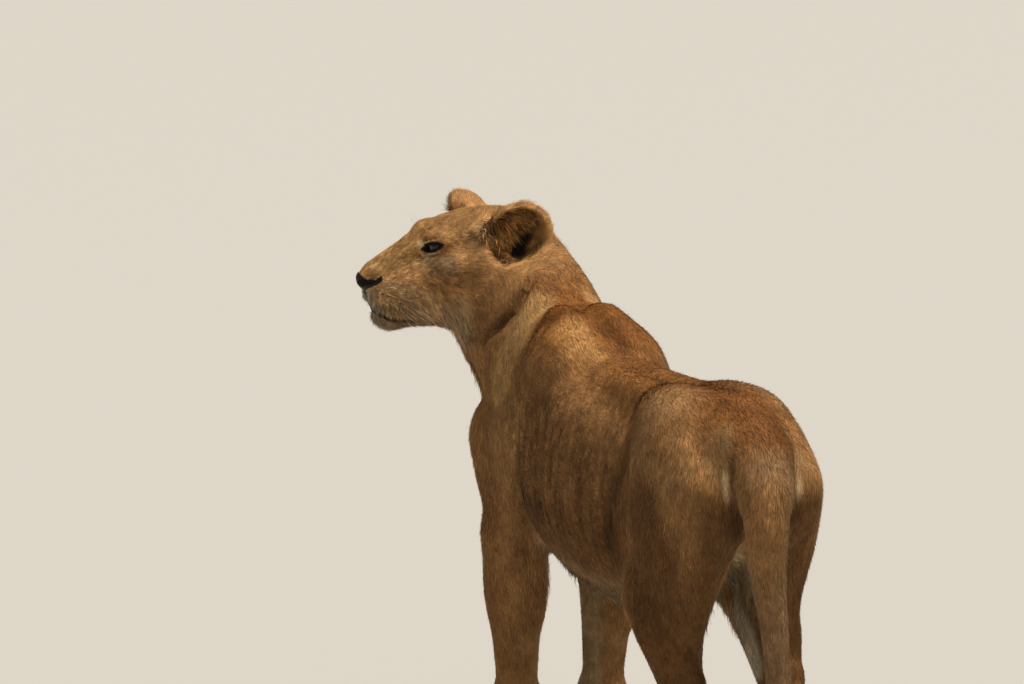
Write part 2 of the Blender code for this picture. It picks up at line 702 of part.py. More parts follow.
# Where the pieces part. Corners turn by more than CREASE, so that simplified() keeps them.
SHOULDER_SIDE = ((-0.62, -0.1), (-0.62, 0.58), (-0.40, 0.93), (-0.165, 0.93), (-0.235, 0.45), (-0.235, -0.1))
SHOULDER_FRONT = ((0.012, -0.1), (0.012, 0.46), (0.065, 0.55), (0.065, 0.95), (0.30, 0.95), (0.30, -0.1))
THIGH_SIDE = ((0.19, -0.1), (0.19, 0.40), (0.335, 0.875), (0.56, 0.875), (0.70, 0.72), (0.70, -0.1))
THIGH_FRONT = ((0.012, -0.1), (0.012, 0.46), (0.065, 0.56), (0.065, 0.90), (0.30, 0.90), (0.30, -0.1))
TAIL_SIDE = ((0.650, 0.7885), (0.836, 0.948), (1.00, 0.948), (1.00, -0.05), (0.650, -0.05))
NECK_SIDE = ((-0.300, 1.036), (-0.620, 0.7545), (-1.000, 0.7545), (-1.000, 1.50), (-0.300, 1.50))
HEAD_SIDE = ((0.151, 0.200), (-0.021, -0.1725), (-0.070, -0.200), (-0.500, -0.200), (-0.500, 0.200))
JAW_SIDE = ((-0.300, -0.083), (-0.108, -0.1255), (-0.100, -0.25), (-0.30, -0.25))
NOSE_SIDE = ((-0.300, -0.012), (-0.254, -0.016), (-0.240, -0.030), (-0.238, -0.044), (-0.246, -0.064), (-0.30, -0.066))


def ear_outline(length):
    """Eight corners round an ear, seen from in front of it, down to its root."""
    found = []
    for n in range(8):
        turn = radians(22.5 + 45 * n)
        found.append((length * 0.50 * cos(turn), length * (0.70 + 0.44 * sin(turn))))
    return found


def part_body(skin):
    """The named pieces of the skin."""
    pieces = {}
    h = head_frame()
    for side, (root, upwards, facing, length) in zip(("left", "right"), EARS):
        ear = h.inner(root, upwards, facing)
        pieces[side + "_ear"], skin = parted(skin, Prism(ear_outline(length), "y", (-0.075, 0.040), ear))
    pieces["tail"], skin = parted(skin, Prism(TAIL_SIDE, "x", (-0.20, 0.20)))
    head, skin = parted(skin, Prism(HEAD_SIDE, "x", (-0.25, 0.132), h))
    pieces["nose"], head = parted(head, Prism(NOSE_SIDE, "x", (-0.029, 0.029), h))
    pieces["lower_jaw"], head = parted(head, Prism(JAW_SIDE, "x", (-0.10, 0.10), h))
    for side, s in (("left", 1), ("right", -1)):
        leg = Both(
            Prism(SHOULDER_SIDE, "x", (0.005, 0.30) if s > 0 else (-0.30, -0.005)),
            Prism(flipped(SHOULDER_FRONT, s), "y", (-0.70, 0.0)),
        )
        leg, skin = parted(skin, leg)
        pieces[side + "_shoulder"], leg = parted(leg, box((-0.4, 0.4), (-1, 0.2), (0.50, 1.2)))
        pieces[side + "_foreleg"], leg = parted(leg, box((-0.4, 0.4), (-1, 0.2), (0.105, 0.60)))
        pieces[side + "_forepaw"] = leg
        leg = Both(
            Prism(THIGH_SIDE, "x", (0.005, 0.30) if s > 0 else (-0.30, -0.005)),
            Prism(flipped(THIGH_FRONT, s), "y", (0.10, 0.90)),
        )
        leg, skin = parted(skin, leg)
        pieces[side + "_thigh"], leg = parted(leg, box((-0.4, 0.4), (0, 0.9), (0.42, 1.2)))
        pieces[side + "_hindleg"], leg = parted(leg, box((-0.4, 0.4), (0, 0.9), (0.105, 0.60)))
        pieces[side + "_hindpaw"] = leg
    pieces["neck"], pieces["trunk"] = parted(skin, Prism(NECK_SIDE, "x", (-0.30, 0.40)))
    pieces["tail_tuft"], pieces["tail"] = parted(pieces["tail"], box((-0.1, 0.1), (0.6, 1.0), (-0.1, 0.135)))
    pieces["head"] = head
    return pieces


def set_eyes(pieces):
    for side, s in (("left", 1), ("right", -1)):
        centre = head_frame().place((s * EYE_CENTRE[0], EYE_CENTRE[1], EYE_CENTRE[2]))
        pieces[side + "_eye"] = ball_mesh(centre, EYE_RADIUS)
        pieces["head"] = combined(pieces["head"], ball_mesh(centre, EYE_RADIUS + GAP), "DIFFERENCE")


def ball_mesh(centre, radius):
    work = bmesh.new()
    bmesh.ops.create_uvsphere(work, u_segments=18, v_segments=10, radius=radius)
    bmesh.ops.translate(work, verts=work.verts, vec=Vector(centre))
    mesh = bpy.data.meshes.new("ball")
    work.to_mesh(mesh)
    work.free()
    return tidied(mesh)


def finish(name, mesh, colour, roughness):
    mesh.name = name
    body = bpy.data.objects.new(name, mesh)
    bpy.context.scene.collection.objects.link(body)
    material = bpy.data.materials.new(name)
    material.use_nodes = True
    shader = material.node_tree.nodes["Principled BSDF"]
    shader.inputs["Base Color"].default_value = (*colour, 1.0)
    shader.inputs["Roughness"].default_value = roughness
    mesh.materials.append(material)
    return body


COAT = (0.42, 0.24, 0.10)
COLOURS = {
    "nose": ((0.020, 0.015, 0.014), 0.45),
    "left_eye": ((0.16, 0.08, 0.02), 0.10),
    "right_eye": ((0.16, 0.08, 0.02), 0.10),
    "lower_jaw": ((0.62, 0.50, 0.36), 0.90),
    "tail_tuft": ((0.05, 0.035, 0.025), 0.90),
}


def head_middle():
    return head_frame().place((0, -0.05, -0.02))


def make():
    for body in list(bpy.data.objects):
        bpy.data.objects.remove(body)
    points, faces = build_flesh(GRID).skin()
    skin = tidied(mesh_from(points, faces, "skin"))
    skin = tidied(evaluated(skin, "DECIMATE", ratio=HEAD_DETAIL / len(skin.polygons)))
    places = np.array([v.co[:] for v in skin.vertices])
    body = np.flatnonzero(np.linalg.norm(places - head_middle(), axis=1) > HEAD_REACH)
    skin = tidied(evaluated(skin, "DECIMATE", group=body, ratio=SKIN_TRIANGLES / len(skin.polygons)))
    # soles: everything under the sole level is cut off flat
    skin = combined(skin, box((-1, 1), (-2, 2), (SOLES, 2.0)).solid(), "INTERSECT")
    pieces = part_body(skin)
    for name, mesh in pieces.items():
        fine = name in ("head", "nose", "lower_jaw") or name.endswith(("_ear", "paw"))
        simplified(mesh, SHORTEST * (0.5 if fine else 1.0))
    set_eyes(pieces)
    every = np.array([v.co[:] for mesh in pieces.values() for v in mesh.vertices])
    low, high = every.min(0), every.max(0)
    middle = Vector(((low[0] + high[0]) / 2, (low[1] + high[1]) / 2, low[2]))
    for name, mesh in sorted(pieces.items()):
        mesh.transform(Matrix.Translation(-middle))
        colour, roughness = COLOURS.get(name, (COAT, 0.90))
        finish(name, mesh, colour, roughness)


if __name__ == "__main__":
    make()
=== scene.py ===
"""The lioness as she looks: one skin just inside the solids, and over it her coat, eyes, nose and whiskers.

Her shape is made again here from the same named muscles as the solids, on a finer grid. +Z is up, her
nose end is towards -Y and her left side at +X. Places and sizes of muscles, folds and markings are
written in millimetres, other lengths in metres. The muscles' coordinates differ from the frame's by SHIFT.
"""

import json
from math import cos, radians, sin

import bpy
import numpy as np
from mathutils import Matrix, Vector

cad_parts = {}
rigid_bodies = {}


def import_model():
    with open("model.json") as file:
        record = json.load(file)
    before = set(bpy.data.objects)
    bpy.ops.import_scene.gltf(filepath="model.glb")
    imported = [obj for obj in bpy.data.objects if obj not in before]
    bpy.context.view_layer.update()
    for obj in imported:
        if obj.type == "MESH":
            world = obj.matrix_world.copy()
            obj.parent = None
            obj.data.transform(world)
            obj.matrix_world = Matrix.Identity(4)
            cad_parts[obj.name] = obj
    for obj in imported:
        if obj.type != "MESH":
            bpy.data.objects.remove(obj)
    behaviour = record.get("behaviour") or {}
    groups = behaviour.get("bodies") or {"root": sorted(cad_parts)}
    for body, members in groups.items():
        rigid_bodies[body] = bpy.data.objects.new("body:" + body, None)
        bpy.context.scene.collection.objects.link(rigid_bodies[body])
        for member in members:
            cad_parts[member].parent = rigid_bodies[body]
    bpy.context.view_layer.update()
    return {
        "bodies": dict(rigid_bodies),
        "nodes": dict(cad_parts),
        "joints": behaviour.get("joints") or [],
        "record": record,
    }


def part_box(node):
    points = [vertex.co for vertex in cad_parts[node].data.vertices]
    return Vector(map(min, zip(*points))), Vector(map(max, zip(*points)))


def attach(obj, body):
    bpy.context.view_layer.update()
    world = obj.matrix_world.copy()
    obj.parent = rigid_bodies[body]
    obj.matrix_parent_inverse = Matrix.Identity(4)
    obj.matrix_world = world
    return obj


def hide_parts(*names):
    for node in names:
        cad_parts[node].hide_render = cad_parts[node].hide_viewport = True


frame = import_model()

FINE = 1.0  # how much coarser grid and coat are while trying things
GRID = (  # the skin's grid along x, y and z: from, to, spacing, and bands of finer spacing
    (-0.3, 0.45, 0.006, [(-0.02, 0.35, 0.0027), (0.175, 0.24, 0.0015), (0.28, 0.36, 0.0019)]),
    (-0.9, 0.9, 0.006, [(-0.8, -0.45, 0.0027), (-0.61, -0.56, 0.0015), (-0.705, -0.655, 0.0015)]),
    (-0.02, 1.32, 0.006, [(0.9, 1.2, 0.0027), (1.09, 1.14, 0.0015)]),
)
EASING = 0.2  # how fast the spacing grows outside a band
FAR = 1.0  # distance where there is no flesh yet
MARGIN = 0.015  # how far past a shape and its blend it is still reckoned with
BARELY = 1e-4  # how far inside the skin a filled point is put
SOLES = 0.003  # height in the muscles' own coordinates of the flat soles
LOCKS = 315_000  # locks of hair in the coat
PIECE = 196_000  # most triangles in one piece of coat
BARE = 0.3  # thickness of coat below which no hair grows
CELL = 0.004  # side of the cells by which neighbours are found
PRESSED = 0.7  # share of the coat's height by which the skin is pressed in
LONG_HAIR = 0.0175  # length from which a lock is bent
ROOT_DEPTH = 0.0012  # how far under the skin a lock starts
LOCK_PATCH = 0.0015  # half size of a lock in the UV square
UV_EDGE, UV_GAP = 0.004, 0.01  # empty edge of the UV square, and gap between its charts in metres
FILLINGS = 20  # most rounds of filling doubtful cells
SEED = 11
SIDES = (1, -1)  # her left and her right


def vec(*values):
    return np.array(values, float)


def unit(vector):
    return np.asarray(vector, float) / np.linalg.norm(vector)


def lengths(rows):
    return np.linalg.norm(rows, axis=-1)[..., None]


class Frame:
    """A turned set of axes, such as the head's: x to its left, y backwards, z up."""

    unit = 1.0  # the length that counts as one in these axes

    def __init__(self, origin=(0, 0, 0), yaw=0.0, pitch=0.0, roll=0.0):
        turn = Matrix.Rotation(radians(yaw), 3, "Z") @ Matrix.Rotation(radians(pitch), 3, "X")
        self.axes = np.array(turn @ Matrix.Rotation(radians(roll), 3, "Y"))
        self.origin = vec(*origin)

    def place(self, point):
        return self.origin + self.axes @ np.asarray(point, float)

    def inner(self, origin, upwards, facing):
        """Axes inside these, z along upwards and -y along facing."""
        made = Frame(self.place(origin))
        z = self.axes @ unit(upwards)
        y = -(self.axes @ unit(facing))
        y = unit(y - z * (y @ z))
        made.axes = np.array((np.cross(y, z), y, z)).T
        return made


BODY = Frame()


class Ball:
    """An ellipsoid, with its own turn inside its frame."""

    def __init__(self, centre, radii, frame=BODY, turn=(0, 0, 0)):
        self.axes = frame.axes @ Frame((0, 0, 0), *turn).axes
        self.centre = frame.place(centre)
        self.radii = radii
        reach = np.sqrt(((self.axes * self.radii) ** 2).sum(1))
        self.low, self.high = self.centre - reach, self.centre + reach

    def distance(self, *point):
        x, y, z = (p - c for p, c in zip(point, self.centre))
        u, v, w = ((x * a + y * b + z * c) / r for (a, b, c), r in zip(self.axes.T, self.radii))
        near = np.sqrt(u * u + v * v + w * w) + 1e-9
        slope = np.sqrt(sum((q / r) ** 2 for q, r in zip((u, v, w), self.radii))) + 1e-9
        return near * (near - 1) / slope


class Bar:
    """A rounded cone from a to b. flat under 1 thins it along side."""

    def __init__(self, a, b, radius_a, radius_b, flat=1.0, side=(1, 0, 0), frame=BODY):
        self.a, self.b = frame.place(a), frame.place(b)
        self.radii, self.flat, self.side = (radius_a, radius_b), flat, frame.axes @ unit(side)
        reach = max(self.radii) * max(1.0, flat)
        self.low = np.minimum(self.a, self.b) - reach
        self.high = np.maximum(self.a, self.b) + reach

    def distance(self, *point):
        px, py, pz = (p - a for p, a in zip(point, self.a))
        along = self.b - self.a
        aside = px * self.side[0] + py * self.side[1] + pz * self.side[2]
        if self.flat != 1.0:
            stretch = 1.0 / self.flat - 1.0
            px, py, pz = (p + aside * stretch * s for p, s in zip((px, py, pz), self.side))
            along = along + (along @ self.side) * stretch * self.side
        r1, r2 = self.radii
        length2 = along @ along
        step = r1 - r2
        lean2 = length2 - step * step
        t = px * along[0] + py * along[1] + pz * along[2]
        over = t - length2
        cx, cy, cz = (p * length2 - a * t for p, a in zip((px, py, pz), along))
        x2 = cx * cx + cy * cy + cz * cz
        y2, z2 = t * t * length2, over * over * length2
        limit = np.sign(step) * step * step * x2
        beside = (np.sqrt(x2 * lean2 / length2) + t * step) / length2 - r1
        past_b = np.sqrt(x2 + z2) / length2 - r2
        before_a = np.sqrt(x2 + y2) / length2 - r1
        found = np.where(np.sign(over) * lean2 * z2 > limit, past_b, beside)
        found = np.where(np.sign(t) * lean2 * y2 < limit, before_a, found)
        if self.flat != 1.0:
            share = np.minimum((aside / self.flat) ** 2 / (x2 / length2**2 + 1e-9), 1.0)
            found = found / np.sqrt(1 + (1 / self.flat**2 - 1) * share)
        return found


class Loft:
    """The barrel of the trunk: rounded sections down a line of stations along y."""

    def __init__(self, stations):
        self.ys, *columns = (np.array(stations) / (1000, 1000, 1000, 1000, 1000, 1)).T
        self.columns = [(values, np.gradient(values, self.ys)) for values in columns]
        top, bottom, half = columns[:3]
        self.low = vec(-half.max(), self.ys[0], bottom.min())
        self.high = vec(half.max(), self.ys[-1], top.max())

    def read(self, column, y):
        """Cubic interpolation with the stations' own slopes."""
        values, slopes = column
        y = np.clip(y, self.ys[0], self.ys[-1])
        k = np.clip(np.searchsorted(self.ys, y) - 1, 0, len(self.ys) - 2)
        width = self.ys[k + 1] - self.ys[k]
        t = (y - self.ys[k]) / width
        return (
            values[k] * (1 + 2 * t) * (1 - t) ** 2
            + slopes[k] * width * t * (1 - t) ** 2
            + values[k + 1] * t * t * (3 - 2 * t)
            + slopes[k + 1] * width * t * t * (t - 1)
        )

    def distance(self, x, y, z):
        top, bottom, half, widest, square = (self.read(column, y) for column in self.columns)
        dz = z - widest
        height = np.where(dz > 0, top - widest, widest - bottom)
        u, w = np.abs(x) / half + 1e-6, np.abs(dz) / height + 1e-6
        ring = (u**square + w**square) ** (1 / square)
        slope = np.sqrt((u ** (square - 1) / half) ** 2 + (w ** (square - 1) / height) ** 2)
        slope = ring ** (1 - square) * slope
        beyond = np.maximum(self.ys[0] - y, y - self.ys[-1])
        return np.maximum((ring - 1) / slope, beyond)


def smooth_least(a, b, blend):
    share = np.clip(0.5 + 0.5 * (b - a) / blend, 0, 1)
    return b + (a - b) * share - blend * share * (1 - share)


CORNERS = [(i, j, k) for i in (0, 1) for j in (0, 1) for k in (0, 1)]


def joined(members):
    """Whether a set of cube corners hangs together along the cube's edges."""
    reached, fresh = set(), set(list(members)[:1])
    while fresh:
        reached |= fresh
        near = {m for m in members if any(sum(map(abs, np.subtract(m, r))) == 1 for r in reached)}
        fresh = near - reached
    return reached == set(members)


def two_sheets():
    """For each of the 256 patterns of a cell's corners: does more than one sheet of skin cross it?"""
    found = []
    for pattern in range(256):
        inside = {c for n, c in enumerate(CORNERS) if pattern >> n & 1}
        outside = set(CORNERS) - inside
        wrong = not (joined(inside) and joined(outside))
        for way in range(3):
            for level in (0, 1):
                face = {c for c in CORNERS if c[way] == level}
                wrong |= not (joined(inside & face) and joined(outside & face))
        found.append(wrong)
    return np.array(found)


def graded(low, high, coarse, bands):
    """Places along an axis, closer together in each band of (from, to, spacing) and easing out from it."""
    places = [low]
    while places[-1] < high:
        here = places[-1]
        steps = [step + EASING * max(a - here, here - b, 0) for a, b, step in bands]
        places.append(here + FINE * min([coarse, *steps]))
    return np.array(places)


class Flesh:
    """Signed distance to the skin on a grid of points. Negative is inside."""

    def __init__(self, axes):
        self.axes = axes
        self.value = np.full([len(axis) for axis in axes], FAR, np.float32)

    def blend(self, shape, blend, sign=1):
        """Adds a shape, or carves it out if sign is -1."""
        margin = blend + MARGIN
        ends = zip(self.axes, shape.low - margin, shape.high + margin)
        cuts = tuple(slice(*np.searchsorted(axis, (a, b))) for axis, a, b in ends)
        points = np.meshgrid(*(axis[c] for axis, c in zip(self.axes, cuts)), indexing="ij", sparse=True)
        self.value[cuts] = sign * smooth_least(sign * self.value[cuts], shape.distance(*points), blend)

    def corner(self, array, offset):
        return array[tuple(slice(o, o + n - 1) for o, n in zip(offset, array.shape))]

    def fill_doubtful(self):
        """Fills every cell that two sheets of skin would cross, so that the surface is one clean sheet."""
        table = two_sheets()
        for _ in range(FILLINGS):
            inside = self.value < 0
            pattern = sum(self.corner(inside, c).astype(np.int16) << n for n, c in enumerate(CORNERS))
            cells = np.argwhere(table[pattern])
            for c in CORNERS:
                place = tuple((cells + c).T)
                self.value[place] = np.minimum(self.value[place], -BARELY)
            if not len(cells):
                return

    def skin(self):
        """Points and four-sided faces of the surface, by surface nets."""
        self.fill_doubtful()
        inside = self.value < 0
        count = sum(self.corner(inside, c).astype(np.int8) for c in CORNERS)
        cells = np.argwhere((count > 0) & (count < 8))
        number = np.full([n - 1 for n in inside.shape], -1, np.int64)
        number[tuple(cells.T)] = np.arange(len(cells))
        total, hits = np.zeros((len(cells), 3)), np.zeros(len(cells))
        for c in CORNERS:
            for way in range(3):
                if c[way]:
                    continue
                other = tuple(o + (way == n) for n, o in enumerate(c))
                one, two = (self.value[tuple((cells + end).T)] for end in (c, other))
                crossed = (one < 0) != (two < 0)
                place = cells + np.array(c, float)
                place[:, way] += np.where(crossed, one / np.where(crossed, one - two, 1), 0)
                total += place * crossed[:, None]
                hits += crossed
        total /= hits[:, None]
        points = [np.interp(total[:, n], np.arange(len(axis)), axis) for n, axis in enumerate(self.axes)]
        faces = []
        for way in range(3):
            ahead = tuple(slice(0, -1) if n == way else slice(1, -1) for n in range(3))
            past = tuple(slice(1, None) if n == way else slice(1, -1) for n in range(3))
            second, third = (n for n in range(3) if n != way)
            for enter in (True, False):
                start = inside[ahead] & ~inside[past] if enter else ~inside[ahead] & inside[past]
                edges = np.argwhere(start) + [int(n != way) for n in range(3)]
                ring = []
                for shift in ((0, 0), (1, 0), (1, 1), (0, 1)):
                    cell = edges.copy()
                    cell[:, (second, third)] -= shift
                    ring.append(number[tuple(cell.T)])
                quads = np.stack(ring, 1)
                faces.append(quads[:, ::-1] if enter == (way == 1) else quads)
        return np.stack(points, 1), np.concatenate(faces)


# ---- the animal

TRUNK_STATIONS = (  # y, top, bottom, half width, height of the widest point, squareness
    (-530, 860, 630, 65, 740, 2.0),
    (-460, 930, 555, 100, 710, 2.1),
    (-360, 965, 515, 122, 700, 2.2),
    (-260, 972, 490, 142, 700, 2.2),
    (-120, 942, 450, 158, 680, 2.15),
    (0, 912, 437, 165, 650, 2.1),
    (120, 898, 437, 162, 640, 2.1),
    (240, 902, 462, 148, 660, 2.1),
    (360, 915, 520, 132, 720, 2.2),
    (480, 915, 590, 115, 750, 2.1),
    (570, 860, 650, 75, 760, 2.0),
)
NECK_LINE = (  # x, y, z, radius, and which way its sides face, in degrees
    (0, -330, 830, 140, 0),
    (0, -420, 875, 150, 5),
    (8, -500, 950, 142, 20),
    (26, -555, 1000, 126, 40),
    (36, -595, 1040, 104, 60),
)
TAIL_LINE = (  # x, y, z, radius
    *((2, 500, 855, 60), (7, 605, 815, 56), (19, 676, 755, 50), (27, 703, 690, 44), (26, 712, 586, 34)),
    *((16, 719, 478, 27), (8, 726, 350, 25), (4, 736, 250, 23), (1, 760, 150, 21), (2, 800, 85, 18)),
)
# The head's place, how far it turns to her left and how much lower its left ear is, in degrees
HEAD = Frame((0.0873, -0.62, 1.09), 83.0, 0, 9.0)
EARS = (  # her left and right, in the head's axes: root, way it stands, way it opens, length
    ((0.086, 0.001, -0.004), (0.2, 0.65, 0.73), (0.88, -0.44, 0.02), 0.165),
    ((-0.064, 0.008, 0.006), (-0.84, 0.04, 0.52), (-0.42, -0.55, -0.7), 0.134),
)
EYE_CENTRE, EYE_GAZE = vec(0.048, -0.101, 0.029), vec(0.62, -0.77, 0.12)
EYE_OUTER = vec(0.77, 0.62, 0.0)  # towards the outer corner of her left eye
EYE_RADIUS, LID = 18.5, 2.8  # millimetres; LID is the thickness of the eyelids
SLIT_LONG, SLIT_TALL, SLIT_SLOPE = 17.2, 5.0, 0.38  # half sizes of the opening; its inner corner is lower


def eye_frame(s):
    """At the middle of an eyeball: x along the slit, -y the way it looks, z up."""
    flip = vec(s, 1, 1)
    gaze = unit(flip * EYE_GAZE)
    upwards = vec(0, 0, 1) - unit(flip * EYE_OUTER) * SLIT_SLOPE
    return HEAD.inner(flip * EYE_CENTRE, upwards - gaze * (upwards @ gaze), gaze)


AXES = {"body": BODY, "head": HEAD}
for s, (root, upwards, facing, length) in zip(SIDES, EARS):
    AXES[f"eye{s}"] = eye_frame(s)
    AXES[f"ear{s}"] = HEAD.inner(root, upwards, facing)
    AXES[f"ear{s}"].unit = length


def shapers(flesh, s=1, frame=BODY):
    """Functions that add a ball or a bar, in millimetres, mirrored to her right if s is -1.

    If sign is -1 they carve it out. blend is how softly it joins the rest.
    """
    flip = vec(s, 1, 1)

    def ball(centre, radii, blend, turn=(0, 0, 0), sign=1):
        size = np.ones(3) * radii / 1000
        turn = (s * turn[0], turn[1], s * turn[2])
        flesh.blend(Ball(flip * centre / 1000, size, frame, turn), blend / 1000, sign)

    def bar(a, b, radius_a, radius_b, blend, flat=1.0, side=(1, 0, 0), sign=1):
        ends = flip * a / 1000, flip * b / 1000
        flesh.blend(Bar(*ends, radius_a / 1000, radius_b / 1000, flat, side, frame), blend / 1000, sign)

    return ball, bar


def build_trunk(flesh):
    flesh.blend(Loft(TRUNK_STATIONS), 0.03)
    ball, bar = shapers(flesh)
    # breast between the shoulders, and the keel
    ball((0, -470, 700), (110, 105, 165), 60)
    bar((0, -520, 640), (0, -300, 535), 50, 45, 60)
    for s in SIDES:
        ball, bar = shapers(flesh, s)
        bar((40, -200, 880), (45, 340, 872), 38, 42, 40, 0.9)  # long muscle beside the spine
        ball((62, 405, 830), (76, 132, 95), 50)  # croup
        ball((72, 310, 860), (42, 70, 42), 50)  # hip point
        ball((60, 562, 750), (55, 50, 75), 50)  # seat bone
        ball((78, -80, 700), (88, 200, 160), 60)  # ribs behind the shoulder


def build_shoulder(ball, bar):
    point, elbow = vec(98, -474, 715), vec(112, -325, 535)
    # shoulder blade, standing above the spine at its rear corner
    bar((47, -245, 943), point, 70, 60, 50, 0.55)
    bar((37, -310, 968), (60, -140, 920), 34, 42, 55, 0.85)
    bar((48, -350, 930), point, 40, 50, 50, 0.7)
    ball((90, -205, 868), (50, 105, 85), 60)  # muscle over the blade's rear edge
    # long and side heads of the triceps
    bar((98, -235, 820), elbow, 62, 42, 50, 0.6)
    bar((112, -345, 740), elbow, 80, 52, 40, 0.62)
    ball((96, -455, 715), (42, 58, 90), 40)  # deltoid over the shoulder point
    bar(point, elbow + (0, -45, 0), 56, 64, 40, 0.85)  # biceps in front of the arm
    ball((60, -460, 610), (62, 80, 90), 50)  # breast muscle from the keel to the arm


def build_foreleg(ball, bar, s):
    elbow, knee, foot = vec(110, -330, 530), vec(97, -380, 170), vec(98, -425, 55)
    # forearm: stretching muscles in front and outside, bending muscles behind
    bar(elbow + (0, -35, -10), knee, 74, 43, 30, 0.88)
    middle = elbow * 0.72 + knee * 0.28
    ball(middle + (6, -22, -5), (56, 52, 115), 30)
    ball(middle + (0, 24, -10), (46, 44, 120), 30)
    ball(elbow + (0, 30, 12), (24, 26, 34), 30)
    # wrist, its pad behind, and the dew claw inside
    ball(knee + (0, -4, 0), (45, 44, 50), 30)
    ball(knee + (6, 36, 0), (16, 17, 20), 14)
    bar(knee + (-34, 0, -40), knee + (-40, -14, -68), 12, 10, 12)
    bar(knee, foot, 41, 44, 30, 1.05)
    build_paw(ball, bar, s, foot, 1.05)


def build_paw(ball, bar, s, foot, size):
    """Four toes over a three-lobed pad; foot is the middle of the knuckles, toes point to -Y."""
    heel = foot * (1, 1, 0)
    ball(heel + vec(0, -12, 30) * size, vec(50, 48, 34) * size, 25)
    for place, reach in ((-1.5, 60), (-0.5, 78), (0.5, 80), (1.5, 62)):
        aside = s * place * 23.5
        root = heel + vec(aside * 0.8, -18, 48) * size
        knuckle = heel + vec(aside, -reach * 0.78, 46) * size
        tip = heel + vec(aside * 1.04, -reach - 12, 24) * size
        bar(root, knuckle, 19 * size, 18.5 * size, 12)
        bar(knuckle, tip, 18.5 * size, 17.5 * size, 10)
        ball(tip + vec(0, 4, -8) * size, vec(15, 20, 14) * size, 8)
    for place in (-1, 0, 1):
        lobe = heel + vec(s * place * 21, 12 - 6 * abs(place), 14) * size
        ball(lobe, vec(20, 22, 14) * size, 10)


def build_thigh(ball, bar):
    knee = vec(106, 322, 510)
    bar((94, 383, 750), knee, 82, 53, 50, 0.68)  # quadriceps in front
    # biceps femoris: the big side muscle, from the seat bone to the knee and shin
    bar((112, 510, 735), (114, 400, 520), 86, 67, 50, 0.62)
    ball((114, 458, 685), (55, 106, 140), 50)
    # semitendinosus and semimembranosus: the back edge of the thigh
    bar((78, 566, 735), (106, 480, 440), 55, 40, 45, 0.9)
    bar((60, 555, 700), (80, 440, 500), 60, 50, 40, 0.8)
    ball((88, 418, 800), (64, 108, 95), 50)  # gluteals over the hip
    ball((110, 314, 508), (37, 41, 57), 35)  # kneecap
    bar((92, 240, 565), (104, 315, 520), 36, 36, 50, 0.6)  # fold of skin from knee to flank


def build_hindleg(ball, bar, s):
    shift = vec(0, 0, 0) if s > 0 else vec(10, -45, 0)  # her right foot stands further out and forward
    knee, calf = vec(106, 324, 505), vec(116, 415, 460)
    ankle, heel, foot = (shift + p for p in ((110, 548, 262), (108, 594, 292), (108, 500, 50)))
    # shin, calf and the tendon to the heel
    bar(knee + (0, 20, -10), ankle, 60, 38, 35, 0.88)
    bar(calf, calf * 0.4 + heel * 0.6, 62, 32, 40, 0.78)
    bar(calf * 0.35 + heel * 0.65, heel, 29, 22, 20, 0.85)
    ball(heel, (25, 25, 29), 20)
    ball(ankle + (0, 4, -4), (38, 41, 46), 25)
    bar(heel + (0, -10, -10), (ankle + foot) / 2 + (0, 20, 0), 20, 24, 20)
    bar(ankle, foot, 35, 39, 25, 0.95)
    build_paw(ball, bar, s, foot, 0.98)


def smooth_path(points, count):
    """Rows along a Catmull-Rom curve through the given rows."""
    rows = np.array(points, float)
    rows = np.vstack([2 * rows[0] - rows[1], rows, 2 * rows[-1] - rows[-2]])
    found = []
    for t in np.linspace(0, len(points) - 1, count):
        k = min(int(t), len(points) - 2)
        u = t - k
        a, b, c, d = rows[k : k + 4]
        bend = (2 * a - 5 * b + 4 * c - d) * u**2 + (3 * b - a - 3 * c + d) * u**3
        found.append(0.5 * (2 * b + (c - a) * u + bend))
    return found


def build_tail(ball, bar):
    rows = smooth_path(TAIL_LINE, 26)
    for one, two in zip(rows[:-1], rows[1:]):
        blend = 50 if one[2] > 800 else 20 if one[2] > 740 else 2
        bar(one[:3], two[:3], one[3], two[3], blend)
    ball((2, 790, 96), (29, 52, 31), 20, (0, -45, 0))  # dark tuft on the end


def build_neck(bar):
    rows = smooth_path(NECK_LINE, 9)
    for one, two in zip(rows[:-1], rows[1:]):
        side = (cos(radians(one[4])), sin(radians(one[4])), 0)
        bar(one[:3], two[:3], one[3], two[3], 40, 0.8, side)
    bar((0, -380, 975), (6, -565, 1118), 50, 52, 50)  # crest of the neck
    bar((0, -520, 780), (60, -620, 960), 75, 70, 60)  # throat


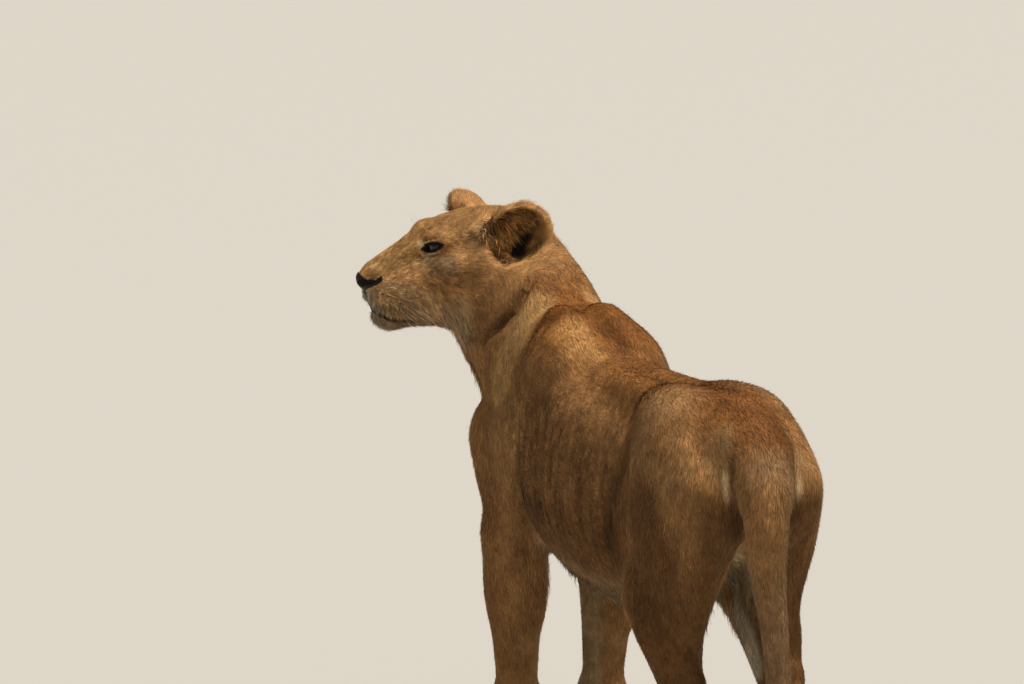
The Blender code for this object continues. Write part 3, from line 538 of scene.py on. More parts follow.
def build_head(flesh):
    """In the head's own frame: x to her left, -y towards the nose, z up. Origin in the brain case."""
    ball, bar = shapers(flesh, 1, HEAD)
    # brain case, forehead and the back of the skull
    ball((0, 20, 15), (80, 95, 82), 50)
    ball((0, -50, 15), (70, 95, 70), 40)
    ball((0, 20, -45), (88, 85, 90), 50)
    # upper and lower jaw
    ball((0, -178, -71), (46, 66, 49), 30)
    ball((0, -120, -60), (58, 75, 60), 40)
    ball((0, -190, -132), (35, 36, 28), 20)
    for s in SIDES:
        ball, bar = shapers(flesh, s, HEAD)
        bar((50, -75, -20), (34, -192, -54), 34, 30, 30)  # side of the upper jaw, below the eye
        bar((14, -110, 32), (12, -220, -43), 28, 26, 20)  # long flat nose
        bar((80, 25, -20), (64, -90, -12), 36, 26, 35)  # cheek bone from the ear, round below the eye
        # jaw muscle and cheek
        ball((62, 0, -80), (46, 66, 70), 40)
        bar((56, -70, -65), (40, -150, -70), 40, 34, 30)
        bar((20, -185, -128), (48, -40, -110), 22, 36, 30)  # side of the lower jaw
        bar((28, -114, 44), (60, -92, 42), 15, 18, 22)  # brow
        # whisker pad
        ball((30, -203, -88), (33, 36, 34), 12)
        ball((40, -170, -95), (27, 44, 29), 20)
        socket = (EYE_CENTRE + unit(EYE_GAZE) * 0.036) * 1000
        ball(socket, (26, 22, 19), 12, (-38, 0, 0), -1)
    ball((0, -242, -51), (27, 19, 19), 10, (0, -25, 0))  # nose pad


def build_ears(flesh):
    """Each a round cupped shell on a short trunk, from its root towards its tip."""
    for s in SIDES:
        ear = AXES[f"ear{s}"]
        ball, bar = shapers(flesh, 1, ear)
        length = ear.unit * 1000
        bar((0, 6, 0), (0, 10, length * 0.4), 40, 32, 26, 1.1)
        ball((0, 6, length * 0.5), (length * 0.42, 38, length * 0.5), 14)
        ball((0, -26, length * 0.5 + 6), (length * 0.33, 42, length * 0.4), 16, sign=-1)


def build_lids(flesh):
    for s in SIDES:
        ball, bar = shapers(flesh, 1, AXES[f"eye{s}"])
        ball((0, 0, 0), EYE_RADIUS + LID, 6)
        # folds of the heavy upper lid and of the lower one
        bar((-14, -18.5, 8.5), (16, -16.5, 8.5), 4.8, 4.6, 4)
        bar((-13, -17.5, -9), (13, -17.5, -9), 3.4, 3.2, 5)
        ball((0, -18, -0.5), (SLIT_LONG, 20, SLIT_TALL), 1.5, sign=-1)


def build_skin():
    flesh = Flesh([graded(*axis) for axis in GRID])
    build_trunk(flesh)
    for s in SIDES:
        ball, bar = shapers(flesh, s)
        build_shoulder(ball, bar)
        build_foreleg(ball, bar, s)
        build_thigh(ball, bar)
        build_hindleg(ball, bar, s)
    ball, bar = shapers(flesh)
    build_neck(bar)
    build_head(flesh)
    build_ears(flesh)
    build_lids(flesh)
    build_tail(ball, bar)
    return flesh.skin()


# ---- where things are on the skin


class Places:
    """Points on the skin with its normals, in the muscles' coordinates and in those of parts of her."""

    def __init__(self, points, normals):
        self.points, self.normals, self.known = points, normals, {}

    def at(self, where):
        """The points in the axes of a part. An ear's are shares of its length."""
        if where not in self.known:
            own = AXES[where]
            self.known[where] = (self.points - own.origin) @ own.axes / own.unit
        return self.known[where]


def eased(t):
    t = np.clip(t, 0, 1)
    return t * t * (3 - 2 * t)


def line_gap(points, a, b):
    """How far each point is from the line from a to b."""
    a, b = vec(*a), vec(*b)
    along = b - a
    t = np.clip(((points - a) @ along) / max(along @ along, 1e-9), 0, 1)
    return np.linalg.norm(points - a - t[:, None] * along, axis=1)


def nearness(points, a, b, radius, soft):
    """1 within radius of the line from a to b, easing to 0 over soft."""
    return eased(1 - (line_gap(points, a, b) - radius) / soft)


PAIRS = {"sides": "body", "cheeks": "head", "ears": "ear{}", "eyes": "eye{}"}


def listed(*rows):
    """Strokes in metres from rows in millimetres, or thousandths of an ear's length.

    A row is where it is, from, to, two sizes and the rest. A row on a pair of places becomes two strokes.
    """
    found = []
    for where, a, b, radius, soft, *rest in rows:
        for s in SIDES if where in PAIRS else (1,):
            flip = vec(s, 1, 1)
            name = PAIRS.get(where, where).format(s)
            found.append((name, flip * a / 1000, flip * b / 1000, radius / 1000, soft / 1000, *rest))
    return found


def lay(value, target, share):
    """Moves the value at each point a share of the way towards the target."""
    value += (np.asarray(target) - value) * share[:, None]


def painted(places, base, strokes):
    """One value for each point: base, with each stroke laid over what is there."""
    value = np.array(base, float) * np.ones((len(places.points), 1))
    for where, a, b, radius, soft, target, *share in strokes:
        near = nearness(places.at(where), a, b, radius, soft)
        lay(value, target, near * share[0] if share else near)
    return value


def lattice(points, scale, seed):
    """Smooth noise from -1 to 1, with lumps of the given size."""
    grid = points / scale + 1000.0
    base = np.floor(grid).astype(np.int64)
    t = grid - base
    t = t * t * (3 - 2 * t)
    total = 0
    for corner in CORNERS:
        key, share = seed * 2654435, 1
        for n, (step, prime) in enumerate(zip(corner, (73856093, 19349663, 83492791))):
            key = key ^ (base[:, n] + step) * prime
            share = share * (t[:, n] if step else 1 - t[:, n])
        key = (key ^ (key >> 13)) * 1274126177 & 0x7FFFFFFF
        key = (key ^ (key >> 15)) & 0xFFFF
        total = total + share * (key / 32767.5 - 1)
    return total


def slit_ring(places, s):
    """1 on the edge of an eye's opening, less inside it, more outside; and which points are that eye's."""
    own = places.at(f"eye{s}")
    ring = (own[:, 0] / 0.03) ** 2 + np.abs(own[:, 2] + 0.0004) / 0.012
    return ring, (own[:, 1] < 0.002) & (np.linalg.norm(own, axis=1) < 0.05)


# Outlines seen from the side, in the head's axes: rows of y and z
MOUTH_LINE = (
    *((-260, -106), (-240, -107), (-221, -114), (-202, -121)),
    *((-180, -124.5), (-157, -126), (-139, -127), (-125, -122)),
)
NOSE_TOP = ((-266, -33), (-256, -37.5), (-243, -45), (-233, -43), (-223, -34.5), (-216, -33))
NOSE_FOOT = ((-262, -80), (-244, -74), (-240, -68), (-233, -60), (-225, -49), (-216, -39))
MOUTH_END = -0.132  # y of the corners of the mouth
LIPS_BELOW = 0.0035  # how far the middle of the dark lips is below the line where they meet


def outline(rows, y):
    """Height of an outline at each y."""
    return np.interp(y, *(np.array(rows).T / 1000))


def mouth_gap(places):
    """Height above the line where the lips meet, and how much of a mouth there is at each point."""
    x, y, z = places.at("head").T
    gap = z - outline(MOUTH_LINE, y)
    return gap, eased((MOUTH_END - y) / 0.012) * (np.abs(x) < 0.085) * (np.abs(gap) < 0.03)


def philtrum(places):
    """Distance from the line below the nose, and how much of a line there is at each point."""
    x, y, z = places.at("head").T
    return np.abs(x), eased((-0.218 - y) / 0.008) * (z > -0.11) * (z < -0.06)


def nose_region(x, y, z):
    """Below 0 inside the outline of the bare nose, with a wing on each side behind the nostril."""
    foot = np.maximum(outline(NOSE_FOOT, y), -0.079 + 0.65 * (np.abs(x) - 0.002))
    return np.maximum.reduce([z - outline(NOSE_TOP, y), foot - z, y + 0.2175])


def nose_share(places):
    """1 where the bare nose is."""
    return (nose_region(*places.at("head").T) < 0).astype(float)


# ---- the coat's length, lie and colour

# Each stroke: where, from, to, radius, softness, value and how much of it.
# A coat's value is its length and lift in metres and degrees, its tufts' width in metres, and its thickness.
COAT_BASE = (0.0125, 12, 0.002, 1)
EAR_HOLLOW_COAT, EAR_BACK_COAT = (0.012, 20, 0.0013, 1), (0.0075, 10, 0.0013, 1)
LID_COAT = (0.0038, 10, 0.0009, 1)
COAT = listed(
    ("body", (0, -500, 620), (0, -560, 860), 80, 80, (0.021, 13, 0.0023, 1)),  # breast
    ("body", (30, -620, 960), (0, -550, 700), 60, 60, (0.024, 15, 0.0023, 1)),  # throat
    ("body", (0, -250, 440), (0, 420, 520), 70, 60, (0.026, 18, 0.0024, 1)),  # belly
    ("body", (0, 600, 660), (0, 520, 520), 40, 50, (0.016, 11, 0.002, 1)),  # between the thighs
    ("sides", (100, -290, 500), (100, -310, 340), 15, 40, (0.019, 14, 0.0021, 1)),  # elbow
    ("sides", (100, -380, 360), (100, -390, 140), 50, 80, (0.01, 10, 0.0017, 1)),  # foreleg
    ("sides", (110, 500, 360), (110, 540, 140), 80, 60, (0.01, 10, 0.0017, 1)),  # hind leg
    ("sides", (100, -460, 50), (100, -360, 50), 60, 40, (0.007, 12, 0.0014, 1)),  # paws
    ("sides", (110, 380, 50), (110, 500, 50), 60, 40, (0.007, 12, 0.0014, 1)),
    ("body", (5, 720, 500), (0, 760, 160), 30, 50, (0.012, 12, 0.0019, 1)),  # tail
    ("body", (2, 775, 125), (2, 800, 85), 30, 30, (0.04, 16, 0.0026, 1.5)),  # tuft
    ("head", (0, 60, 20), (0, -20, 30), 100, 60, (0.011, 11, 0.0017, 1)),  # crown
    ("head", (0, -50, 60), (0, -250, -20), 50, 40, (0.0065, 10, 0.0012, 1)),  # forehead and nose
    ("head", (0, -100, -30), (0, -220, -60), 75, 40, (0.008, 15, 0.0013, 1.1)),  # face
    ("cheeks", (75, 20, -100), (60, -50, -140), 35, 40, (0.02, 17, 0.002, 1)),  # ruff
    ("cheeks", (45, -205, -90), (55, -150, -105), 24, 16, (0.014, 27, 0.0014, 1.4)),  # lips
    ("head", (0, -215, -145), (0, -170, -150), 30, 20, (0.011, 18, 0.0015, 1)),  # chin
)
# Colours are linear red, green, blue
TAWNY = vec(0.31, 0.156, 0.057)
RUST = vec(0.215, 0.08, 0.017)
UMBER = vec(0.1, 0.044, 0.014)
SAND = vec(0.38, 0.222, 0.095)
CREAM = vec(0.52, 0.385, 0.22)
GREY = vec(0.19, 0.138, 0.085)
BLACK = vec(0.01, 0.008, 0.007)
PADS = (0.02, 0.015, 0.012)
EAR_HAIR = vec(0.3, 0.155, 0.05)
# the coat's own markings, and rows of painted shade and painted light where their comments say so
MARKS_AND_PAINTED_LIGHT = listed(
    ("body", (0, -320, 990), (0, 300, 930), 50, 130, RUST, 0.75),  # back
    ("sides", (30, -280, 1000), (50, -180, 970), 30, 90, RUST, 0.9),  # withers
    ("body", (0, 400, 930), (0, 600, 860), 45, 90, (0.15, 0.048, 0.008), 0.8),  # sacrum
    ("sides", (100, 400, 860), (120, 500, 780), 30, 100, SAND, 0.5),  # paler fur on the haunch, raised further as painted light on its lit top
    ("body", (0, -200, 420), (0, 400, 480), 50, 60, SAND, 0.7),  # belly
    ("body", (20, -640, 930), (0, -560, 700), 40, 70, SAND, 0.7),  # throat
    ("sides", (30, -330, 480), (45, -390, 140), 30, 35, CREAM, 0.7),  # inner legs
    ("sides", (20, 450, 600), (50, 520, 300), 40, 40, CREAM, 0.75),
    ("sides", (84, 628, 790), (76, 628, 735), 1, 11, (0.9, 0.66, 0.36), 1),  # beside the tail
    ("sides", (75, 590, 850), (80, 610, 810), 15, 35, SAND, 0.8),
    # painted shade in the groove beside the root of the tail and under it
    ("sides", (72, 652, 800), (70, 660, 720), 1, 10, UMBER, 0.8),
    ("sides", (60, 640, 720), (45, 600, 660), 3, 16, UMBER, 0.7),
    ("sides", (110, -450, 30), (110, -540, 30), 50, 50, SAND, 0.35),  # paws
    ("body", (4, 735, 250), (1, 760, 150), 20, 60, GREY, 0.4),
    ("body", (2, 785, 110), (2, 800, 80), 40, 20, (0.035, 0.022, 0.015), 1),  # tail tuft
    ("head", (0, -80, 70), (0, 60, 100), 40, 60, RUST, 0.5),  # crown
    ("head", (0, -40, 70), (0, -220, 10), 50, 40, (0.215, 0.112, 0.038), 0.9),  # forehead, bridge of the nose
    ("cheeks", (45, -200, -80), (70, -130, -90), 26, 28, (0.5, 0.31, 0.145), 0.85),  # side of the muzzle
    ("ears", (-640, 0, 340), (-480, 0, 280), 60, 100, (0.56, 0.3, 0.095), 1),  # tuft before the ear
    ("ears", (-420, 0, 100), (-200, 0, 120), 30, 70, (0.05, 0.026, 0.01), 0.8),
    ("ears", (-260, 0, 180), (-100, 0, 100), 40, 90, UMBER, 0.6),
    ("ears", (300, -80, 340), (140, -80, 180), 30, 70, (0.3, 0.135, 0.035), 0.8),  # lobe
    ("cheeks", (60, -40, -120), (70, 30, -120), 40, 50, CREAM, 0.55),  # cheek
    ("cheeks", (20, -240, -90), (32, -222, -108), 16, 16, (0.27, 0.23, 0.16), 0.9),  # front of the lip
    ("cheeks", (45, -205, -105), (55, -165, -112), 8, 18, (0.42, 0.27, 0.12), 0.7),  # edge of the lip
    ("head", (0, -225, -140), (0, -120, -155), 34, 28, (0.32, 0.24, 0.15), 0.8),  # chin
    ("cheeks", (12, -238, -12), (30, -215, -34), 5, 12, (0.34, 0.2, 0.078), 0.6),  # above the nose
    ("sides", (100, -400, 620), (110, -400, 300), 50, 80, UMBER, 0.3),  # forearm
    ("sides", (160, 420, 660), (120, 520, 250), 70, 90, UMBER, 0.78),  # painted shade on the thigh and shank
    # painted shade on the thigh beside the tail
    ("sides", (70, 610, 700), (80, 600, 520), 30, 60, UMBER, 0.75),
    ("sides", (45, 400, 540), (68, 430, 370), 22, 24, (0.5, 0.41, 0.28), 0.85),  # inside of the thigh
    ("sides", (100, 560, 860), (120, 500, 840), 30, 60, RUST, 0.35),  # buttock
    ("sides", (160, -100, 800), (170, 120, 760), 50, 80, UMBER, 0.28),  # ribs
    ("sides", (160, 290, 820), (150, 210, 580), 20, 60, UMBER, 0.55),  # painted shade in the hollow of the flank
    ("sides", (150, -140, 600), (140, 200, 560), 40, 90, UMBER, 0.65),  # painted shade on the lower ribs
    ("body", (10, 660, 780), (4, 730, 300), 40, 40, GREY, 0.45),  # tail
    ("body", (52, 665, 740), (44, 690, 380), 4, 18, UMBER, 0.75),  # the tail's shaded edge
    ("body", (68, -92, 945), (60, -180, 965), 15, 50, (0.47, 0.24, 0.08), 0.7),  # painted light on the top of her left shoulder blade
    ("sides", (150, -300, 800), (158, -275, 680), 30, 60, (0.42, 0.23, 0.09), 0.5),  # upper arm
    ("body", (50, -405, 1080), (104, -395, 992), 2, 14, UMBER, 0.6),  # painted shade in the fold of the neck
    ("body", (104, -395, 992), (137, -469, 932), 2, 16, UMBER, 0.6),
    ("sides", (80, -330, 1040), (130, -380, 840), 25, 40, (0.48, 0.28, 0.11), 0.7),  # side of the neck
    ("eyes", (-46, -6, -6), (-27, -14, 8), 8, 9, (0.62, 0.45, 0.22), 0.95),  # above the eye's inner corner
    ("eyes", (-42, -8, -22), (-28, -14, -18), 5, 9, (0.55, 0.41, 0.23), 0.8),  # below it
    ("eyes", (-14, -18, -14), (2, -20, -13), 1, 6, CREAM, 0.9),  # under the lower lid
    ("eyes", (-46, -2, 24), (-20, -6, 28), 4, 10, UMBER, 0.5),  # above the cream patch
    ("eyes", (-9, -10, 22), (-8, -4, 40), 2, 6, (0.05, 0.022, 0.008), 0.95),  # painted shade in the crease of the brow
    ("eyes", (-20, -10, -36), (20, -10, -46), 12, 22, (0.2, 0.13, 0.068), 0.7),  # under the eye
    ("cheeks", (30, -130, 62), (48, -118, 68), 2, 10, UMBER, 0.45),  # brow
    ("cheeks", (50, -110, -40), (62, -80, -60), 10, 40, UMBER, 0.25),  # painted shade in the hollow of the cheek
)
FRINGE = listed(  # long hair in and before the ears
    ("ears", (-640, 0, 340), (-480, 0, 280), 60, 80, (0.016, 20, 0.0016, 2.0)),
    ("ears", (-160, 50, 700), (-240, 50, 340), 130, 90, (0.03, 34, 0.0016, 3.6)),
    ("ears", (300, -80, 360), (140, -80, 180), 30, 60, (0.018, 28, 0.0015, 2.0)),
    ("ears", (-240, 30, 220), (120, 30, 160), 70, 80, (0.024, 36, 0.0016, 3.0)),
)
EAR_INSIDE = listed(  # the value is a colour and how much of it
    ("ears", (140, 50, 340), (40, 50, 580), 60, 120, (*BLACK, 1)),
    ("ears", (0, 50, 720), (10, 50, 800), 30, 80, (*BLACK, 0.9)),
    ("ears", (-320, 50, 370), (-280, 50, 410), 10, 60, (*BLACK, 0.8)),
    ("ears", (-160, 50, 260), (-110, 50, 300), 10, 60, (*BLACK, 0.8)),
    ("ears", (-230, 50, 430), (-50, 50, 350), 18, 30, (0.75, 0.58, 0.28, 1)),
    ("ears", (-100, 50, 480), (-60, 50, 450), 6, 25, (0.45, 0.38, 0.28, 1)),
    ("ears", (-400, 50, 200), (-360, 50, 300), 40, 100, (*SAND, 1)),
    ("ears", (0, 50, 1000), (340, 50, 820), 10, 50, (*SAND, 0.8)),
)
COMBS = listed(  # which way the hair lies
    ("body", (0, -450, 750), (0, -560, 680), 120, 100, (0, -0.1, -1)),
    ("body", (20, -600, 1020), (0, -420, 860), 120, 80, (-0.2, 0.6, -0.75)),
    ("sides", (100, -380, 860), (100, -380, 600), 60, 100, (0, 0.45, -0.9)),
    ("sides", (100, -340, 500), (100, -390, 160), 80, 60, (0, 0.15, -1)),
    ("sides", (120, 360, 720), (120, 340, 520), 100, 120, (0, 0.45, -0.9)),
    ("sides", (100, 520, 720), (100, 500, 500), 80, 80, (0, 0.2, -1)),
    ("sides", (120, 380, 440), (110, 550, 260), 80, 60, (0, 0.55, -0.8)),
    ("sides", (110, 540, 220), (110, 500, 80), 80, 50, (0, -0.05, -1)),
    ("sides", (100, -420, 55), (100, -560, 40), 60, 30, (0, -1, -0.3)),
    ("sides", (110, 460, 50), (110, 360, 40), 55, 30, (0, -1, -0.3)),
    ("body", (20, 680, 760), (0, 740, 200), 60, 40, (0, 0.1, -1)),
    ("body", (2, 770, 130), (2, 800, 80), 60, 30, (0, 0.55, -0.85)),
)
FACE_COMBS = listed(  # the same, with the way in the head's axes
    ("head", (0, 50, -50), (0, -270, -30), 140, 50, (0, 1, 0.05)),
    ("cheeks", (60, 0, -100), (50, -100, -100), 50, 50, (0, 0.75, -0.65)),
    ("head", (0, -220, -140), (0, -100, -150), 40, 30, (0, 1, -0.35)),
    ("cheeks", (45, -215, -100), (60, -150, -112), 20, 20, (0, 0.62, -0.78)),
    ("head", (0, -50, 80), (0, 60, 100), 50, 50, (0, 1, 0.0)),
)
WHISKER_ROWS = (  # height, first y, last y, spots
    (-0.07, -0.218, -0.17, 5),
    (-0.078, -0.226, -0.16, 7),
    (-0.088, -0.228, -0.155, 8),
    (-0.099, -0.226, -0.16, 7),
)
WHISKER_SPOTS = [  # row, y, z, and whether a long hair grows there
    (row, y, height - (y - first) * 0.28, k >= count // 2)
    for row, (height, first, last, count) in enumerate(WHISKER_ROWS)
    for k, y in enumerate(np.linspace(first, last, count))
]


def ear_places(places):
    """For each ear: side, points in its axes, how much they belong to it, and which are in its hollow."""
    for s in SIDES:
        own = places.at(f"ear{s}")
        gap = np.hypot(own[:, 0], own[:, 2] - 0.5)
        share = eased((own[:, 2] - 0.1) / 0.16) * eased((0.7 - gap) / 0.08)
        hollow = places.normals @ AXES[f"ear{s}"].axes[:, 1] < 0.1
        yield s, own, share * (np.abs(own[:, 1]) < 0.5), hollow[:, None]


def coat_at(places):
    """Length, lift in radians, width and thickness of the coat at each point."""
    value = painted(places, COAT_BASE, COAT)
    for _, _, share, hollow in ear_places(places):
        lay(value, np.where(hollow, EAR_HOLLOW_COAT, EAR_BACK_COAT), share)
    value = painted(places, value, FRINGE)
    for s in SIDES:
        ring, front = slit_ring(places, s)
        lay(value, LID_COAT, eased((2.6 - ring) / 1.4) * front)
        value[:, 3] *= np.where(front, eased((ring - 0.86) / 0.2), 1)
    gap, share = mouth_gap(places)
    value[:, 3] *= 1 - share * (np.abs(gap + LIPS_BELOW) < 0.0055)
    cleft, part = philtrum(places)
    value[:, 3] *= 1 - part * (cleft < 0.004)
    value[:, 3] *= 1 - nose_share(places)
    value[:, 1] = np.radians(value[:, 1])
    return value


def mottled(places):
    """Darker and lighter flecks, finer on the face and drawn out along the ribs' loose skin."""
    p, h = places.points, places.at("head")
    mottle = lattice(p, 0.035, 1) * 0.18 + lattice(p, 0.011, 2) * 0.28
    flank = nearness(p * (0, 1, 1), (0, -0.15, 0.74), (0, 0.18, 0.72), 0.1, 0.1)
    mottle += flank * lattice(p * (1, 1, 0.12), 0.0065, 5) * 0.38
    on_face = nearness(h, (0, -0.02, -0.02), (0, -0.22, -0.05), 0.09, 0.05)
    return mottle + on_face * (lattice(h, 0.0038, 3) * 0.6 + lattice(h, 0.008, 4) * 0.22)


def colour_ears(places, value):
    inner = painted(places, (0, 0, 0, 0), EAR_INSIDE)
    for s, own, share, hollow in ear_places(places):
        back, inside = value.copy(), value.copy()
        patch = nearness(own * (1, 0.6, 1), (0, -0.06, 0.42), (0, -0.06, 0.52), 0.1, 0.16)
        lay(back, BLACK * 2, 0.8 * patch)
        rim = np.hypot((s * own[:, 0] + 0.05) / 0.48, (own[:, 2] - 0.5) / 0.5)
        streaks = np.exp(0.8 * lattice(own * (9, 9, 4.5), 0.8, 7) + 0.5 * lattice(own, 0.06, 8))
        lay(inside, EAR_HAIR * streaks[:, None], eased(1.75 - 1.45 * rim))
        lay(value, np.where(hollow, inside, back), share)
        value += (inner[:, :3] - value * inner[:, 3:]) * share[:, None] * hollow


def coat_colour(places):
    """The coat's markings, with painted shade and painted light: one colour for each point."""
    value = painted(places, TAWNY, MARKS_AND_PAINTED_LIGHT)
    height, down = places.points[:, 2], -places.normals[:, 2]
    # underside and the sides that face each other under her are paler
    under = eased((down - 0.35) / 0.5) * eased((0.75 - height) / 0.2) * (height > 0.12)
    lay(value, CREAM * 0.8, 0.5 * under)
    # painted shade: the coat is darker the deeper a fold or a line of the face goes in
    value *= np.exp(-60 * folds(places))[:, None]
    value *= np.exp(mottled(places))[:, None]
    colour_ears(places, value)
    x, y, z = places.at("head").T
    for s in SIDES:
        ring, front = slit_ring(places, s)
        lay(value, BLACK, eased((1.14 - ring) / 0.22) * front)
        # dark line from the inner corner of the eye
        corner, end = (-s * SLIT_LONG / 1000, -0.016, -0.003), (-s * 0.033, -0.014, -0.008)
        lay(value, BLACK, nearness(places.at(f"eye{s}"), corner, end, 0.0014, 0.003))
        for _, spot_y, spot_z, _ in WHISKER_SPOTS:
            spot = np.hypot((y - spot_y) / 1.7, z - spot_z) + (s * x < 0.01)
            lay(value, UMBER * 0.5, eased((0.003 - spot) / 0.0016) * 0.85)
    gap, share = mouth_gap(places)
    cleft, part = philtrum(places)
    lips = eased((0.0085 - np.abs(gap + LIPS_BELOW)) / 0.0035) * share
    lips = np.maximum(lips, eased((0.006 - cleft) / 0.002) * part)
    lay(value, BLACK, np.maximum(lips, nose_share(places)))
    lay(value, PADS, eased((down - 0.55) / 0.2) * (height < 0.022))
    return np.clip(value, 0.004, 0.9)


def along_skin(ways, normals):
    """Directions laid flat on the skin, one long."""
    ways = ways - normals * (ways * normals).sum(1)[:, None]
    return ways / (lengths(ways) + 1e-9)


def lie_at(places):
    """Unit direction along the skin that the hair lies in."""
    p, normals = places.points, places.normals
    way = painted(places, (0, 1, -0.22), COMBS)
    way[:, 2] -= 0.25 * eased((0.75 - p[:, 2]) / 0.25) * (np.abs(p[:, 1] - 0.05) < 0.25)
    turned = painted(places, (0, 1, 0), FACE_COMBS)
    on_head = nearness(places.at("head"), (0, 0.03, 0.0), (0, -0.24, -0.06), 0.12, 0.05)
    lay(way, turned @ HEAD.axes.T, on_head)
    fringe = painted(places, (0,), [(*stroke[:5], (1,)) for stroke in FRINGE])
    for s, own, share, _ in ear_places(places):
        x, _, z = AXES[f"ear{s}"].axes.T
        fan = z + own[:, :1] * 1.2 * x
        across = x * s * 0.85 + z * (1.25 * eased((own[:, 2:] - 0.38) / 0.3) - 0.5)
        lay(way, fan + (across - fan) * fringe, share)
    swirl = [lattice(p, 0.05, 20 + n) + 0.6 * lattice(p, 0.018, 30 + n) for n in range(3)]
    return along_skin(way / (lengths(way) + 1e-9) + 0.16 * np.stack(swirl, 1), normals)


# ---- finishing the skin

FOLDS = listed(  # lines pressed into the skin: where, from, to, half width, depth
    *(("sides", (160, -130 + 36 * n, 850 - 12 * n), (170, -120 + 34 * n, 580), 6, 6) for n in range(7)),
    ("body", (40, -405, 1105), (77, -396, 1032), 11, 11),  # behind the jaw of the turned head
    ("body", (77, -396, 1032), (104, -395, 992), 12, 15),
    ("body", (104, -395, 992), (125, -417, 959), 12, 16),
    ("body", (125, -417, 959), (137, -469, 932), 13, 14),
    ("body", (137, -469, 932), (145, -548, 927), 13, 6),
    ("body", (118, -395, 930), (134, -471, 851), 10, 5),
    ("body", (104, -237, 987), (48, -216, 1008), 14, 5),  # in front of the shoulder blade
    ("body", (48, -216, 1008), (-41, -307, 1011), 14, 4),
    ("body", (-22, -240, 1000), (-18, -86, 937), 18, 7),  # between the shoulder blades
    ("body", (-18, -86, 937), (-11, 30, 918), 20, 4),
    ("sides", (80, 640, 820), (66, 640, 700), 7, 14),  # beside the root of the tail
    ("sides", (150, -235, 720), (130, -265, 500), 18, 9),  # behind the upper arm
    ("sides", (150, 200, 600), (140, 250, 820), 22, 8),  # in front of the thigh
    ("cheeks", (66, -150, -20), (60, -110, -60), 6, 1.5),
    ("eyes", (-20, -10, 13), (18, -8, 16), 2.2, 1.6),  # above the upper lid
    ("eyes", (-16, -14, -12), (17, -12, -13), 2.2, 1.4),
    ("eyes", (-16, -16, -2), (-30, -10, -12), 2.2, 2),  # tear line
)


def across(points, faces):
    """Across each face: along its normal, and twice its area long."""
    return np.cross(points[faces[:, 2]] - points[faces[:, 0]], points[faces[:, 3]] - points[faces[:, 1]])


def normals_of(points, faces):
    flow = across(points, faces)
    total = np.zeros_like(points)
    for n in range(4):
        for axis in range(3):
            total[:, axis] += np.bincount(faces[:, n], flow[:, axis], len(points))
    return total / (lengths(total) + 1e-12)


def relaxed(points, faces, share):
    """Each point moved towards the middle of its neighbours."""
    one, two, size = faces.ravel(), np.roll(faces, -1, 1).ravel(), len(points)
    count = np.bincount(one, None, size) + np.bincount(two, None, size)
    middle = [np.bincount(one, p[two], size) + np.bincount(two, p[one], size) for p in points.T]
    return points + share * (np.stack(middle, 1) / count[:, None] - points)


def folds(places):
    """How deep the folds and the lines of the face go in at each point."""
    depth = np.zeros(len(places.points))
    for where, a, b, width, deep in FOLDS:
        depth = np.maximum(depth, deep * np.exp(-((line_gap(places.at(where), a, b) / width) ** 2)))
    gap, share = mouth_gap(places)
    depth += 0.0045 * np.exp(-((gap / 0.0028) ** 2)) * share
    cleft, part = philtrum(places)
    return depth + 0.0022 * np.exp(-((cleft / 0.0022) ** 2)) * part


def finished_skin():
    points, faces = build_skin()
    for _ in range(2):
        points = relaxed(points, faces, 0.5)
    normals = normals_of(points, faces)
    places = Places(points, normals)
    length, lift, _, thickness = coat_at(places).T
    points = points - normals * (folds(places) + PRESSED * length * np.sin(lift) * (thickness > 0))[:, None]
    points = relaxed(points, faces, 0.25)
    points[:, 2] = np.maximum(points[:, 2], SOLES)
    return points, faces, normals_of(points, faces)


# ---- making pieces


def fill(items, name, values, kind=np.float32):
    items.foreach_set(name, values.astype(kind).ravel())


def placed(name, data):
    """A new object in the scene."""
    made = bpy.data.objects.new(name, data)
    bpy.context.collection.objects.link(made)
    return made


def make(name, points, faces, colour, material, uv=None, normals=None):
    """A smooth mesh in the frame's coordinates, with a colour at each point."""
    mesh = bpy.data.meshes.new(name)
    count, size = faces.shape
    mesh.vertices.add(len(points))
    fill(mesh.vertices, "co", points + SHIFT)
    mesh.loops.add(count * size)
    fill(mesh.loops, "vertex_index", faces, np.int32)
    mesh.polygons.add(count)
    fill(mesh.polygons, "loop_start", np.arange(0, count * size, size), np.int32)
    mesh.update(calc_edges=True)
    fill(mesh.polygons, "use_smooth", np.ones(count), bool)
    tint = mesh.color_attributes.new("tint", "FLOAT_COLOR", "POINT")
    fill(tint.data, "color", np.insert(colour, 3, 1, 1))
    if uv is not None:
        fill(mesh.uv_layers.new(name="OFBake").data, "uv", uv[faces.ravel()])
        mesh.normals_split_custom_set_from_vertices(normals.astype(np.float32))
    mesh.materials.append(material)
    made = placed(name, mesh)
    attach(made, "root")
    return made


def dial(node, **values):
    """Sets a node's sockets. Their names are written with _ for each space."""
    for name, value in values.items():
        node.inputs[name.replace("_", " ")].default_value = value


